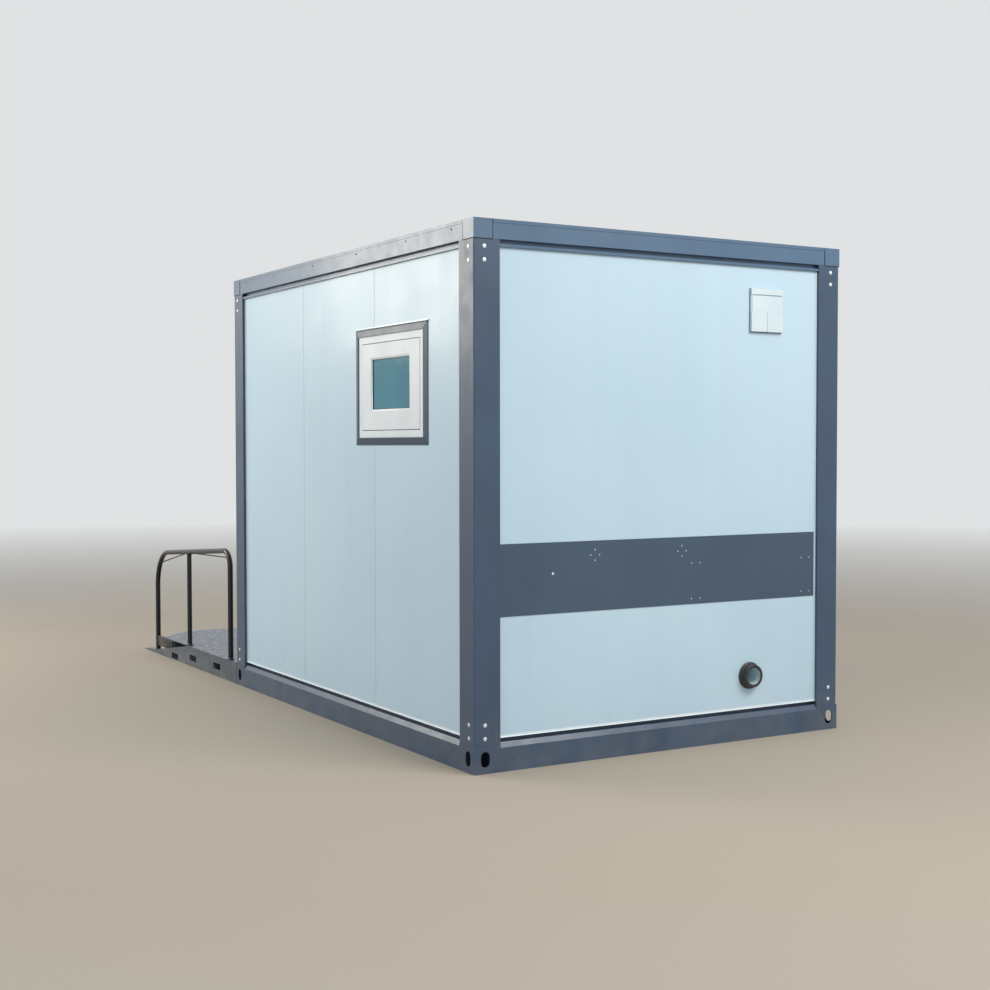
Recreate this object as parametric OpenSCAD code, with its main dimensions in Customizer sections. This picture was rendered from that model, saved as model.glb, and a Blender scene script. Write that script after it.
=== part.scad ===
// Portable toilet cabin in a bolted steel frame, with sandwich-panel walls, a window,
// a vent, a waste outlet and a low entrance platform with handrails.
// Right is +X (the window side), rear is +Y (the outlet side), the entrance faces -Y.

/* [Cabin] */
// Width of the cabin over its posts
body_w = 2450; // [2000:10:3000]
// Length of the cabin over its posts, without the platform
body_l = 3350; // [2700:10:6000]
// Height of the cabin from the ground to the roof edge
body_h = 2800; // [2400:10:3300]

/* [Steel frame] */
// Width of each of the two faces of a corner post
post_w = 155; // [130:5:200]
// Steel thickness of the corner posts
post_t = 3; // [2:0.5:6]
// Radius of the outer edge of a corner post
post_r = 6; // [2:1:12]
// How far the posts' outer faces sit behind the corner blocks
post_in = 3; // [1:0.5:5]
// Height of the blocks under the corner posts
base_corner_h = 140; // [120:5:180]
// Wall thickness of the corner blocks
corner_t = 5; // [4:1:10]
// Height of the upright face of a base rail
base_face_h = 125; // [90:5:125]
// How far the sloped shoulder of a base rail runs in
shoulder_in = 16; // [8:1:18]
// Height of the sloped shoulder of a base rail
shoulder_h = 26; // [10:1:40]
// Steel thickness of the base rails
base_t = 4; // [2:0.5:6]
// Height of the roof rail's upright face
roof_face_h = 100; // [80:5:140]
// Steel thickness of the roof rails
roof_t = 3; // [2:0.5:5]
// Length and width of the blocks at the roof corners
roof_corner_w = 110; // [90:5:120]
// Height of the shadow slot under the roof rail's face
slot_h = 23; // [12:1:40]
// Depth of that slot
slot_d = 30; // [15:1:50]
// Height of the trim strip between the slot and the wall panels
strip_h = 13; // [8:1:30]

/* [Walls] */
// Thickness of the wall panels
wall_t = 60; // [40:5:100]
// How far the wall panels sit behind the faces of the posts
panel_inset = 20; // [10:1:30]
// Joint between neighbouring wall panels
panel_joint = 0.5; // [0.2:0.1:0.8]
// Thickness of the floor board
floor_t = 18; // [12:1:30]
// Thickness of the roof panel
roof_panel_t = 110; // [60:5:120]

/* [Window] */
// Width of the window over its surround
window_w = 885; // [600:5:1000]
// Height of the window over its surround
window_h = 660; // [400:5:900]
// Height of the window's centre above the ground
window_z = 1995; // [1500:5:2100]
// Distance from the rear of the cabin to the window's centre
window_from_rear = 962; // [700:1:1100]
// Width of the bevelled surround
surround_w = 42; // [25:1:60]
// How far the surround stands proud at its inner edge
surround_out = 11; // [6:1:16]
// Width of the fixed window frame
window_frame_w = 40; // [25:1:60]
// Width of the clear glass
glass_w = 477; // [300:1:520]
// Height of the clear glass
glass_h = 303; // [200:1:340]

/* [Rear face] */
// Height of the dark band's lower edge
band_z = 789; // [500:1:1100]
// Height of the dark band
band_h = 371; // [200:1:500]
// Thickness of the band plate
band_t = 3; // [2:0.5:6]
// Gap between the band's end and the left post
band_end_gap = 16; // [5:1:60]
// Diameter of the fixing holes in the band
band_hole_d = 11; // [6:0.5:16]
// Width of the vent cover
vent_w = 230; // [150:5:300]
// Height of the vent cover
vent_h = 240; // [150:5:300]
// How far the vent cover stands off the wall
vent_out = 18; // [12:1:30]
// Outer diameter of the waste pipe
pipe_d = 110; // [75:1:125]
// Wall of the waste pipe
pipe_t = 4; // [3:0.5:8]
// How far the outlet collar stands off the wall
collar_out = 45; // [30:1:70]
// Height of the outlet's centre
outlet_z = 361; // [300:1:600]

/* [Door] */
// Width of the door leaf
door_w = 900; // [750:10:1000]
// Height of the door leaf
door_h = 2000; // [1900:10:2100]
// Width of the door frame's members
door_frame_w = 45; // [30:5:70]
// Thickness of the door leaf
door_t = 40; // [30:5:50]
// Running gap around the door leaf
door_gap = 3; // [2:0.5:5]

/* [Entrance platform] */
// How far the platform reaches in front of the cabin
platform_l = 2100; // [1500:10:2600]
// Height of the deck's surface
deck_z = 147; // [120:1:200]
// Thickness of the deck plate
deck_t = 6; // [4:1:10]
// Length of the deck
deck_l = 1900; // [1300:10:2100]
// Width of each outer strip of the deck
strip_w = 300; // [200:10:400]
// Length of the deck's chamfered corners
deck_chamfer = 290; // [150:10:400]
// Thickness of the side cheeks
cheek_t = 8; // [4:1:12]
// Distance from the cabin to where a cheek starts to taper
cheek_knee = 1020; // [700:10:1100]
// Distance from the cabin to the low end of a cheek's taper
cheek_toe = 1830; // [1250:10:1850]
// Height of the cheek at the end of its taper
toe_h = 26; // [15:1:40]
// Width of the foot plate at a cheek's end
foot_w = 70; // [50:5:100]
// Diameter of the handrail tube
tube_d = 38; // [30:1:45]
// Height of the handrail's centre line at its cabin end
rail_z = 912; // [800:1:1100]
// Fall of the handrail towards its outer end
rail_fall = 4; // [0:0.5:8]

/* [Hidden] */
$fn = 48;

// Colours
steel_blue = [0.28, 0.345, 0.42];
panel_white = [0.83, 0.89, 0.92];
trim_white = [0.92, 0.94, 0.95];
rubber_black = [0.09, 0.09, 0.10];
pipe_grey = [0.55, 0.57, 0.58];
deck_grey = [0.50, 0.55, 0.60];
floor_grey = [0.45, 0.45, 0.43];
glass_teal = [0.36, 0.56, 0.62];

// Where the cabin stands so that the origin is under the middle of the whole object
collar_proud = collar_out - panel_inset;
cabin_y = (platform_l - collar_proud) / 2;
front_y = cabin_y - body_l / 2;
rear_y = cabin_y + body_l / 2;

// Levels and depths that several pieces share
ledge_z = base_face_h + shoulder_h;
panel_z0 = 172;
panel_z1 = body_h - roof_face_h - slot_h - strip_h;
panel_h = panel_z1 - panel_z0;
frame_d = panel_inset + wall_t;
web_in = 45;
shelf_d = frame_d + 40;
base_flange_d = 60;
flange_d = 150;
top_flange_d = 60;
lip_h = 18;
lip_out = 2;
strip_in = 6;
roof_panel_in = roof_corner_w + 2;
roof_hole_w = 40;
roof_hole_l = 64;
bay_l = body_l - 2 * post_w;
bay_w = body_w - 2 * post_w;
post_z1 = body_h - roof_face_h;

// Lifting and lashing holes of the corner blocks
block_hole_w = 52;
block_hole_h = 79;
block_hole_x = 65;
block_hole_z = 73;

// Window pieces, measured from the outer face of the wall panels
window_y = body_l / 2 - window_from_rear;
frame_gap = 0.5;
opening_lap = 10;
opening_w = window_w - 2 * surround_w + 2 * opening_lap;
opening_h = window_h - 2 * surround_w + 2 * opening_lap;
surround_edge_in = 7;
surround_flat = 4;
frame_face_in = 5;
sash_face_in = 4;
sash_gap = 4;
sash_stop_t = 12;
sash_stop_w = 14;
sash_w = opening_w - 2 * opening_lap - 2 * window_frame_w;
sash_h = opening_h - 2 * opening_lap - 2 * window_frame_w;
glass_lift = 13;
glass_t = 20;
glass_in = 2;
glass_play = 0.5;
glass_rebate = 12;

// Vent, outlet and band on the rear face, measured from the cabin's middle
vent_from_side = 540;
vent_under_top = 244;
vent_x = -(body_w / 2 - vent_from_side);
vent_z = panel_z1 - vent_under_top;
vent_duct_d = 100;
outlet_from_side = 648;
outlet_x = -(body_w / 2 - outlet_from_side);
collar_flange_d = pipe_d + 42;
collar_lip_d = pipe_d + 16;
collar_flange_t = 8;
diamond_r = 28;
diamond_xs = [477, -97];
diamond_z = band_z + 296;
pair_half = 30;
pair_xs = [-194, -991];
pair_zs = [band_z + 30, band_z + 226];

// Door
door_opening_w = door_w + 2 * door_gap + 2 * door_frame_w;
door_opening_h = door_h + 2 * door_gap + door_frame_w;
door_inset = 32;
door_frame_out = 4;
hinge_d = 16;
hinge_l = 90;
hinge_levels = [0.12, 0.5, 0.88];
handle_in = 60;
handle_up = 1010;
handle_plate_t = 6;
handle_d = 18;
handle_out = 34;
handle_l = 120;
seat_gap = 0.3;

// Platform
cheek_gap = 6;
cheek_slots = [[400, 72], [920, 64], [1340, 30]];
strip_joint = 2;
beam_w = 60;
beam_t = 4;
beam_n = 5;
beam_step = (deck_l - beam_w) / (beam_n - 1);
arm_start = (beam_n - 2) * beam_step + beam_w;
rail_in = 30;
post_first = 190;
post_middle = 1070;
post_last = 1840;
bend_inner = 110;
bend_outer = 280;
bend_slip = 0.3;
bend_lap = 4;
post_middle_d = tube_d - 3;
rod_d = 10;
rod_in = 25;
rod_drop = 44;
rod_under = 8;
rod_over = 4;
rod_end_angle = 42;
foot_plate_t = 8;
rail_flange_d = 56;
rail_flange_t = 6;
arm_t = 30;
arm_z0 = 60;

// ---------------------------------------------------------------- placing

module at_cabin() {
    translate([0, cabin_y, 0]) children();
}

// Children are drawn for the rear right corner, with the corner's edge on the Z axis.
module at_corner(sx, sy) {
    at_cabin()
        mirror([sx < 0 ? 1 : 0, 0, 0])
            mirror([0, sy < 0 ? 1 : 0, 0])
                translate([body_w / 2, body_l / 2, 0]) children();
}

// A profile run along the right or left side; its x is 0 at the face and negative inside.
module side_run(s, len) {
    at_cabin()
        mirror([s < 0 ? 1 : 0, 0, 0])
            translate([body_w / 2, 0, 0])
                rotate([90, 0, 0]) linear_extrude(height = len, center = true) children();
}

// The same along the rear or front end.
module end_run(s, len) {
    at_cabin()
        mirror([0, s < 0 ? 1 : 0, 0])
            translate([0, body_l / 2, 0])
                rotate([90, 0, 90]) linear_extrude(height = len, center = true) children();
}

// A slot with round ends, centred on the origin, cut along Z.
module oblong_hole(w, h, depth) {
    linear_extrude(height = depth, center = true)
        union() {
            square([w, h - w], center = true);
            translate([0, (h - w) / 2]) circle(d = w);
            translate([0, -(h - w) / 2]) circle(d = w);
        }
}

// ---------------------------------------------------------------- steel frame

module base_corner(sx, sy) {
    inner = post_w - 2 * corner_t;
    color(steel_blue)
        at_corner(sx, sy)
            difference() {
                translate([-post_w, -post_w, 0]) cube([post_w, post_w, base_corner_h]);
                translate([-post_w + corner_t, -post_w + corner_t, corner_t])
                    cube([inner, inner, base_corner_h - 2 * corner_t]);
                translate([-block_hole_x, -corner_t / 2, block_hole_z])
                    rotate([90, 0, 0]) oblong_hole(block_hole_w, block_hole_h, 3 * corner_t);
                translate([-corner_t / 2, -block_hole_x, block_hole_z])
                    rotate([90, 0, 90]) oblong_hole(block_hole_w, block_hole_h, 3 * corner_t);
            }
}

module base_rail_profile() {
    t = base_t;
    polygon([
        [0, 0], [0, base_face_h], [-shoulder_in, ledge_z], [-web_in, ledge_z],
        [-web_in, panel_z0], [-shelf_d, panel_z0], [-shelf_d, panel_z0 - t],
        [-web_in - t, panel_z0 - t], [-web_in - t, ledge_z - t],
        [-shoulder_in - t / 2, ledge_z - t], [-t, base_face_h - t / 2], [-t, t],
        [-base_flange_d, t], [-base_flange_d, 0]
    ]);
}

module base_side_rail(s) {
    color(steel_blue) side_run(s, bay_l) base_rail_profile();
}

module base_end_rail(s) {
    color(steel_blue) end_run(s, bay_w) base_rail_profile();
}

// An L-shaped box section: its two legs reach over the ends of the wall panels.
module post_outline(w, d) {
    polygon([[0, 0], [-w, 0], [-w, -d], [-d, -d], [-d, -w], [0, -w]]);
}

module post_section() {
    t = post_t;
    w = post_w - post_in;
    d = frame_d - post_in;
    difference() {
        post_outline(w, d);
        translate([-t, -t]) post_outline(w - 2 * t, d - 2 * t);
        difference() {
            translate([-post_r, -post_r]) square(2 * post_r);
            translate([-post_r, -post_r]) circle(r = post_r);
        }
    }
}

module post(sx, sy) {
    color(steel_blue)
        at_corner(sx, sy)
            translate([-post_in, -post_in, base_corner_h])
                linear_extrude(height = post_z1 - base_corner_h) post_section();
}

module roof_corners() {
    w = roof_corner_w;
    t = corner_t;
    color(steel_blue)
        for (sx = [-1, 1], sy = [-1, 1])
            at_corner(sx, sy)
                difference() {
                    translate([-w, -w, post_z1]) cube([w, w, roof_face_h]);
                    translate([-w + t, -w + t, post_z1 + t])
                        cube([w - 2 * t, w - 2 * t, roof_face_h - 2 * t]);
                    translate([-w / 2, -w / 2, body_h])
                        oblong_hole(roof_hole_w, roof_hole_l, 3 * t);
                }
}

module roof_face_profile() {
    t = roof_t;
    polygon([
        [0, body_h], [0, body_h - lip_h], [-lip_out, body_h - lip_h], [-lip_out, post_z1],
        [-slot_d - t, post_z1], [-slot_d - t, post_z1 + t], [-lip_out - t, post_z1 + t],
        [-lip_out - t, body_h - t], [-top_flange_d, body_h - t], [-top_flange_d, body_h]
    ]);
}

module roof_trim_profile() {
    t = roof_t;
    strip_z1 = panel_z1 + strip_h;
    polygon([
        [-slot_d, post_z1], [-slot_d, strip_z1], [-strip_in, strip_z1], [-strip_in, panel_z1],
        [-flange_d, panel_z1], [-flange_d, panel_z1 + t], [-strip_in - t, panel_z1 + t],
        [-strip_in - t, strip_z1 - t], [-slot_d - t, strip_z1 - t], [-slot_d - t, post_z1]
    ]);
}

module roof_side_rail(s) {
    color(steel_blue)
        union() {
            side_run(s, body_l - 2 * roof_corner_w) roof_face_profile();
            side_run(s, bay_l) roof_trim_profile();
        }
}

module roof_end_rail(s) {
    color(steel_blue)
        union() {
            end_run(s, body_w - 2 * roof_corner_w) roof_face_profile();
            end_run(s, bay_w) roof_trim_profile();
        }
}

// ---------------------------------------------------------------- floor and roof

module roof_panel() {
    w = body_w - 2 * roof_panel_in;
    l = body_l - 2 * roof_panel_in;
    color(panel_white)
        at_cabin()
            translate([-w / 2, -l / 2, panel_z1 + roof_t]) cube([w, l, roof_panel_t]);
}

module floor_board() {
    w = body_w - 2 * frame_d;
    l = body_l - 2 * frame_d;
    color(floor_grey)
        at_cabin()
            translate([-w / 2, -l / 2, panel_z0]) cube([w, l, floor_t]);
}

module floor_joists() {
    count = 6;
    joist_w = 50;
    joist_t = 3;
    end_in = web_in + base_t + 1;
    z1 = panel_z0 - base_t;
    l = body_w - 2 * end_in;
    step = bay_l / (count + 1);
    color(steel_blue)
        at_cabin()
            for (i = [1 : count])
                translate([-l / 2, -bay_l / 2 + i * step - joist_w / 2, base_t])
                    difference() {
                        cube([l, joist_w, z1 - base_t]);
                        translate([-1, joist_t, joist_t])
                            cube([l + 2, joist_w, z1 - base_t - 2 * joist_t]);
                    }
}

// ---------------------------------------------------------------- walls

// Panel number i of the three along a side, counted from the rear.
module side_panel(s, i) {
    l = bay_l / 3;
    at_cabin()
        mirror([s < 0 ? 1 : 0, 0, 0])
            translate([body_w / 2 - frame_d, bay_l / 2 - (i + 1) * l + panel_joint / 2, panel_z0])
                cube([wall_t, l - panel_joint, panel_h]);
}

module window_cut() {
    at_cabin()
        translate([body_w / 2 - frame_d - 1, window_y - opening_w / 2, window_z - opening_h / 2])
            cube([wall_t + 2, opening_w, opening_h]);
}

module right_wall(i) {
    color(panel_white)
        difference() {
            side_panel(1, i);
            window_cut();
        }
}

module left_wall() {
    color(panel_white)
        for (i = [0 : 2]) side_panel(-1, i);
}

module rear_wall() {
    color(panel_white)
        at_cabin()
            difference() {
                translate([-bay_w / 2, body_l / 2 - frame_d, panel_z0])
                    cube([bay_w, wall_t, panel_h]);
                translate([outlet_x, body_l / 2, outlet_z])
                    rotate([90, 0, 0]) cylinder(d = pipe_d + 2 * frame_gap, h = 3 * frame_d, center = true);
                translate([vent_x, body_l / 2, vent_z])
                    rotate([90, 0, 0]) cylinder(d = vent_duct_d, h = 3 * frame_d, center = true);
            }
}

module front_wall_slab(x0, x1, z0, z1) {
    at_cabin()
        translate([x0, -body_l / 2 + panel_inset, z0]) cube([x1 - x0, wall_t, z1 - z0]);
}

module front_wall_sides() {
    color(panel_white)
        union() {
            front_wall_slab(-bay_w / 2, -door_opening_w / 2, panel_z0, panel_z1);
            front_wall_slab(door_opening_w / 2, bay_w / 2, panel_z0, panel_z1);
        }
}

module front_wall_over_door() {
    half = door_opening_w / 2 - panel_joint / 2;
    color(panel_white)
        front_wall_slab(-half, half, panel_z0 + door_opening_h, panel_z1);
}

// ---------------------------------------------------------------- rear fittings

// Four holes on the points of a diamond, and two side by side.
module hole_diamond(x, z) {
    for (a = [0 : 90 : 270]) band_hole(x + diamond_r * cos(a), z + diamond_r * sin(a));
}

module hole_pair(x, z) {
    band_hole(x - pair_half, z);
    band_hole(x + pair_half, z);
}

module band_hole(x, z) {
    translate([x, body_l / 2, z])
        rotate([90, 0, 0]) cylinder(d = band_hole_d, h = 2 * frame_d, center = true);
}

module rear_band() {
    l = bay_w - band_end_gap;
    color(steel_blue)
        at_cabin()
            difference() {
                translate([-bay_w / 2 + band_end_gap, body_l / 2 - panel_inset, band_z])
                    cube([l, band_t, band_h]);
                for (x = diamond_xs) hole_diamond(x, diamond_z);
                for (x = pair_xs, z = pair_zs) hole_pair(x, z);
            }
}

// A flat housing with a hooded slot on top and two flaps below.
module vent_cover() {
    seam = 3;
    hood_h = 34;
    flap_h = vent_h / 2 - 8;
    groove = 3;
    color(trim_white)
        at_cabin()
            translate([vent_x, body_l / 2 - panel_inset, vent_z])
                difference() {
                    union() {
                        translate([-vent_w / 2, 0, -vent_h / 2]) cube([vent_w, vent_out - 6, vent_h]);
                        translate([-vent_w / 2 + 6, 0, -vent_h / 2 + 6])
                            cube([vent_w - 12, vent_out - 2, vent_h - 12]);
                        translate([-vent_w / 2, 0, vent_h / 2 - hood_h]) cube([vent_w, vent_out, hood_h]);
                        translate([-vent_w / 2, 0, -vent_h / 2]) cube([vent_w, vent_out, flap_h]);
                    }
                    translate([-vent_w / 2 + 14, vent_out - groove - 4, vent_h / 2 - hood_h - 6])
                        cube([vent_w - 28, groove + 5, 8]);
                    translate([-vent_w / 2 - 1, vent_out - groove, -vent_h / 2 + flap_h - seam])
                        cube([vent_w + 2, groove + 1, seam]);
                    translate([-seam / 2, vent_out - groove, -vent_h / 2 - 1])
                        cube([seam, groove + 1, flap_h]);
                }
}

module outlet_collar() {
    bore_r = pipe_d / 2 + 0.3;
    color(rubber_black)
        at_cabin()
            translate([outlet_x, body_l / 2 - panel_inset, outlet_z])
                rotate([-90, 0, 0])
                    rotate_extrude()
                        polygon([
                            [bore_r, 0], [collar_flange_d / 2, 0],
                            [collar_flange_d / 2, collar_flange_t],
                            [collar_flange_d / 2 - 6, collar_flange_t + 5],
                            [collar_lip_d / 2, collar_out - 8],
                            [collar_lip_d / 2, collar_out], [bore_r, collar_out]
                        ]);
}

module outlet_pipe() {
    inside = 120;
    recess = 6;
    color(pipe_grey)
        at_cabin()
            translate([outlet_x, body_l / 2 - panel_inset - wall_t - inside, outlet_z])
                rotate([-90, 0, 0])
                    difference() {
                        cylinder(d = pipe_d, h = inside + wall_t + collar_out - recess);
                        translate([0, 0, -1]) cylinder(d = pipe_d - 2 * pipe_t, h = inside + wall_t + collar_out);
                    }
}

// ---------------------------------------------------------------- door

// A ring or slab in the front wall, with its outer face d behind the faces of the posts.
module door_box(x0, x1, z0, z1, d, t) {
    at_cabin()
        translate([x0, -body_l / 2 + d, z0]) cube([x1 - x0, t, z1 - z0]);
}

module door_frame() {
    half = door_opening_w / 2 - frame_gap / 2;
    top = panel_z0 + door_opening_h - frame_gap / 2;
    inner = half - door_frame_w;
    color(steel_blue)
        difference() {
            door_box(-half, half, panel_z0, top, panel_inset - door_frame_out, wall_t + door_frame_out);
            door_box(-inner, inner, panel_z0 - 1, top - door_frame_w, 0, frame_d + 20);
        }
}

module door_leaf() {
    z0 = panel_z0 + door_gap;
    jamb_x = door_opening_w / 2 - frame_gap / 2 - door_frame_w;
    hinge_x = -jamb_x + seat_gap + hinge_d / 2;
    color(panel_white)
        union() {
            door_box(-door_w / 2, door_w / 2, z0, z0 + door_h, door_inset, door_t);
            for (f = hinge_levels)
                at_cabin()
                    translate([hinge_x, -body_l / 2 + door_inset - hinge_d / 2 + 1,
                               z0 + f * door_h - hinge_l / 2])
                        cylinder(d = hinge_d, h = hinge_l);
        }
}

module door_handle() {
    x = door_w / 2 - handle_in;
    z = panel_z0 + handle_up;
    lever_z = z + 40;
    color(rubber_black)
        union() {
            door_box(x - 20, x + 20, z - 110, z + 110, door_inset - handle_plate_t, handle_plate_t);
            at_cabin()
                translate([x, -body_l / 2 + door_inset - handle_plate_t, lever_z])
                    rotate([90, 0, 0]) cylinder(d = handle_d, h = handle_out - handle_plate_t);
            at_cabin()
                translate([x + handle_d / 2, -body_l / 2 + door_inset - handle_out, lever_z])
                    rotate([0, -90, 0]) cylinder(d = handle_d, h = handle_l);
        }
}

// ---------------------------------------------------------------- window

// A box centred on the window, from depth a to depth b outside the wall panels' face.
module window_box(w, h, a, b, lift = 0) {
    at_cabin()
        translate([body_w / 2 - panel_inset + a, window_y - w / 2, window_z + lift - h / 2])
            cube([b - a, w, h]);
}

module window_surround() {
    edge = surround_out - surround_edge_in;
    inner_w = window_w - 2 * surround_w;
    inner_h = window_h - 2 * surround_w;
    color(steel_blue)
        difference() {
            hull() {
                window_box(window_w, window_h, 0, edge);
                window_box(inner_w + 2 * surround_flat, inner_h + 2 * surround_flat,
                           0, surround_out);
            }
            window_box(inner_w, inner_h, -1, surround_out + 1);
        }
}

module window_frame() {
    w = opening_w - 2 * frame_gap;
    h = opening_h - 2 * frame_gap;
    face_w = window_w - 2 * surround_w - 2 * frame_gap;
    face_h = window_h - 2 * surround_w - 2 * frame_gap;
    color(trim_white)
        difference() {
            union() {
                window_box(w, h, -wall_t, -frame_gap);
                window_box(face_w, face_h, -wall_t, surround_out - frame_face_in);
            }
            window_box(sash_w, sash_h, -wall_t + sash_stop_t, surround_out);
            window_box(sash_w - 2 * sash_stop_w, sash_h - 2 * sash_stop_w, -wall_t - 1, 0);
        }
}

module window_sash() {
    w = sash_w - 2 * sash_gap;
    h = sash_h - 2 * sash_gap;
    color(trim_white)
        difference() {
            window_box(w, h, -wall_t + sash_stop_t + seat_gap, surround_out - sash_face_in);
            window_box(glass_w, glass_h, -wall_t, surround_out, glass_lift);
            window_box(glass_w + 2 * glass_rebate, glass_h + 2 * glass_rebate,
                       -glass_in - glass_t, -glass_in, glass_lift);
        }
}

module window_glass() {
    color(glass_teal)
        window_box(glass_w + 2 * (glass_rebate - glass_play), glass_h + 2 * (glass_rebate - glass_play),
                   -glass_in - glass_t, -glass_in, glass_lift);
}

// ---------------------------------------------------------------- platform

// Children are drawn with y = 0 on the cabin's front face and the platform towards -Y.
module at_front() {
    translate([0, front_y, 0]) children();
}

module deck_panel() {
    half = body_w / 2 - strip_w;
    color(deck_grey)
        at_front()
            translate([-half, -deck_l, deck_z - deck_t]) cube([2 * half, deck_l, deck_t]);
}

module deck_strip() {
    x0 = body_w / 2 - strip_w + strip_joint;
    x1 = body_w / 2 - cheek_t;
    run = min(deck_chamfer, strip_w);
    translate([0, 0, deck_z - deck_t])
        linear_extrude(height = deck_t)
            polygon([[x0, 0], [x1, 0], [x1, -deck_l + deck_chamfer],
                     [x1 - run + cheek_t, -deck_l], [x0, -deck_l]]);
}

module deck_strips() {
    color(deck_grey)
        at_front() {
            deck_strip();
            mirror([1, 0, 0]) deck_strip();
        }
}

module beam(y, half) {
    z1 = deck_z - deck_t;
    translate([-half, y - beam_w, 0])
        difference() {
            cube([2 * half, beam_w, z1]);
            translate([-1, beam_t, beam_t]) cube([2 * half + 2, beam_w - 2 * beam_t, z1 - 2 * beam_t]);
        }
}

module deck_beams() {
    half = body_w / 2 - cheek_t;
    last = -deck_l + beam_w;
    color(steel_blue)
        at_front() {
            for (i = [0 : beam_n - 2]) beam(-i * beam_step, half);
            beam(last, body_w / 2 - strip_w);
        }
}

module cheek_slot(y, z) {
    slot_l = 145;
    slot_z = 44;
    translate([body_w / 2 - cheek_t - 1, -y - slot_l / 2, z - slot_z / 2])
        cube([cheek_t + 2, slot_l, slot_z]);
}

module cheek(s) {
    z1 = deck_z;
    color(steel_blue)
        at_front()
            mirror([s < 0 ? 1 : 0, 0, 0])
                difference() {
                    union() {
                        translate([body_w / 2, 0, 0])
                            rotate([90, 0, -90])
                                linear_extrude(height = cheek_t)
                                    polygon([
                                        [cheek_gap, 0], [cheek_gap, z1], [cheek_knee, z1],
                                        [cheek_toe, toe_h], [platform_l, foot_plate_t], [platform_l, 0]
                                    ]);
                        translate([body_w / 2 - foot_w, -platform_l, 0])
                            cube([foot_w, platform_l - cheek_toe + 120, foot_plate_t]);
                    }
                    for (p = cheek_slots) cheek_slot(p[0], p[1]);
                }
}

// ---------------------------------------------------------------- handrails

// Height of the sloping rail's centre line at a distance from the cabin.
function rail_line(y) = rail_z - (y - post_first - bend_inner) * tan(rail_fall);

// A round bar from one point to another, both as distance from the cabin and height.
module bar(p, q, d) {
    run = q[0] - p[0];
    rise = q[1] - p[1];
    translate([0, -p[0], p[1]])
        rotate([atan2(run, rise), 0, 0]) cylinder(d = d, h = sqrt(run * run + rise * rise));
}

// A bend about a centre: start and sweep are angles from the outward direction.
module bend(c, r, start, sweep) {
    translate([0, -c[0], c[1]])
        rotate([90, 0, -90])
            rotate([0, 0, start])
                rotate_extrude(angle = sweep) translate([r, 0]) circle(d = tube_d - 2 * bend_slip);
}

// A point on a bend's centre line.
function on_bend(c, r, angle) = [c[0] + r * cos(angle), c[1] + r * sin(angle)];

// Straight tubes reach a little over the ends of the bends that slip into them.
function past(p, dir, by) = [p[0] + by * dir[0], p[1] + by * dir[1]];

module handrail(s) {
    a = rail_fall;
    c1 = [post_first + bend_inner, rail_z - bend_inner * cos(a) - bend_inner * sin(a) * tan(a)];
    c2 = [post_last - bend_outer,
          rail_line(post_last - bend_outer) - bend_outer * cos(a) - bend_outer * sin(a) * tan(a)];
    e1 = on_bend(c1, bend_inner, 90 - a);
    e2 = on_bend(c2, bend_outer, 90 - a);
    away = [cos(a), -sin(a)];
    color(rubber_black)
        at_front()
            mirror([s < 0 ? 1 : 0, 0, 0])
                translate([body_w / 2 - rail_in, 0, 0])
                    union() {
                        bar([post_first, deck_z], [post_first, c1[1] + bend_lap], tube_d);
                        bar([post_last, foot_plate_t], [post_last, c2[1] + bend_lap], tube_d);
                        bar(past(e1, away, -bend_lap), past(e2, away, bend_lap), tube_d);
                        bend(c1, bend_inner, 90 - a, 90 + a);
                        bend(c2, bend_outer, 0, 90 - a);
                        bar([post_middle, deck_z], [post_middle, rail_line(post_middle)], post_middle_d);
                        bar([post_first + rod_in, rail_z - rod_drop],
                            [post_middle, rail_line(post_middle) - rod_under], rod_d);
                        bar([post_middle, rail_line(post_middle) - rod_over],
                            on_bend(c2, bend_outer - rod_over, rod_end_angle), rod_d);
                        for (y = [post_first, post_middle])
                            translate([0, -y, deck_z]) cylinder(d = rail_flange_d, h = rail_flange_t);
                        translate([-arm_t / 2, -post_last, arm_z0])
                            cube([arm_t, post_last - arm_start, deck_z - deck_t - arm_z0]);
                    }
}

// ---------------------------------------------------------------- nodes

base_corner(1, 1);  // base_corner_rear_right
base_corner(-1, 1);  // base_corner_rear_left
base_corner(1, -1);  // base_corner_front_right
base_corner(-1, -1);  // base_corner_front_left
base_side_rail(1);  // base_rail_right
base_side_rail(-1);  // base_rail_left
base_end_rail(1);  // base_rail_rear
base_end_rail(-1);  // base_rail_front
post(1, 1);  // post_rear_right
post(-1, 1);  // post_rear_left
post(1, -1);  // post_front_right
post(-1, -1);  // post_front_left
roof_corners();
roof_side_rail(1);  // roof_rail_right
roof_side_rail(-1);  // roof_rail_left
roof_end_rail(1);  // roof_rail_rear
roof_end_rail(-1);  // roof_rail_front
roof_panel();
floor_board();
floor_joists();
right_wall(0);  // right_wall_rear
right_wall(1);  // right_wall_middle
right_wall(2);  // right_wall_front
left_wall();
rear_wall();
rear_band();
front_wall_sides();
front_wall_over_door();
door_frame();
door_leaf();
door_handle();
window_surround();
window_frame();
window_sash();
window_glass();
vent_cover();
outlet_collar();
outlet_pipe();
deck_panel();
deck_strips();
deck_beams();
cheek(1);  // cheek_right
cheek(-1);  // cheek_left
handrail(1);  // handrail_right
handrail(-1);  // handrail_left
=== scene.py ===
"""Looks of a portable toilet cabin: a bolted steel frame with panel walls and an entrance platform.

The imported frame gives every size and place. The classes below add the fixings, seals, trims and
handrails in detail and dress every node of the frame.
"""

import logging
import math
from dataclasses import dataclass, field
from enum import Enum

import bpy
from mathutils import Matrix, Vector


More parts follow.
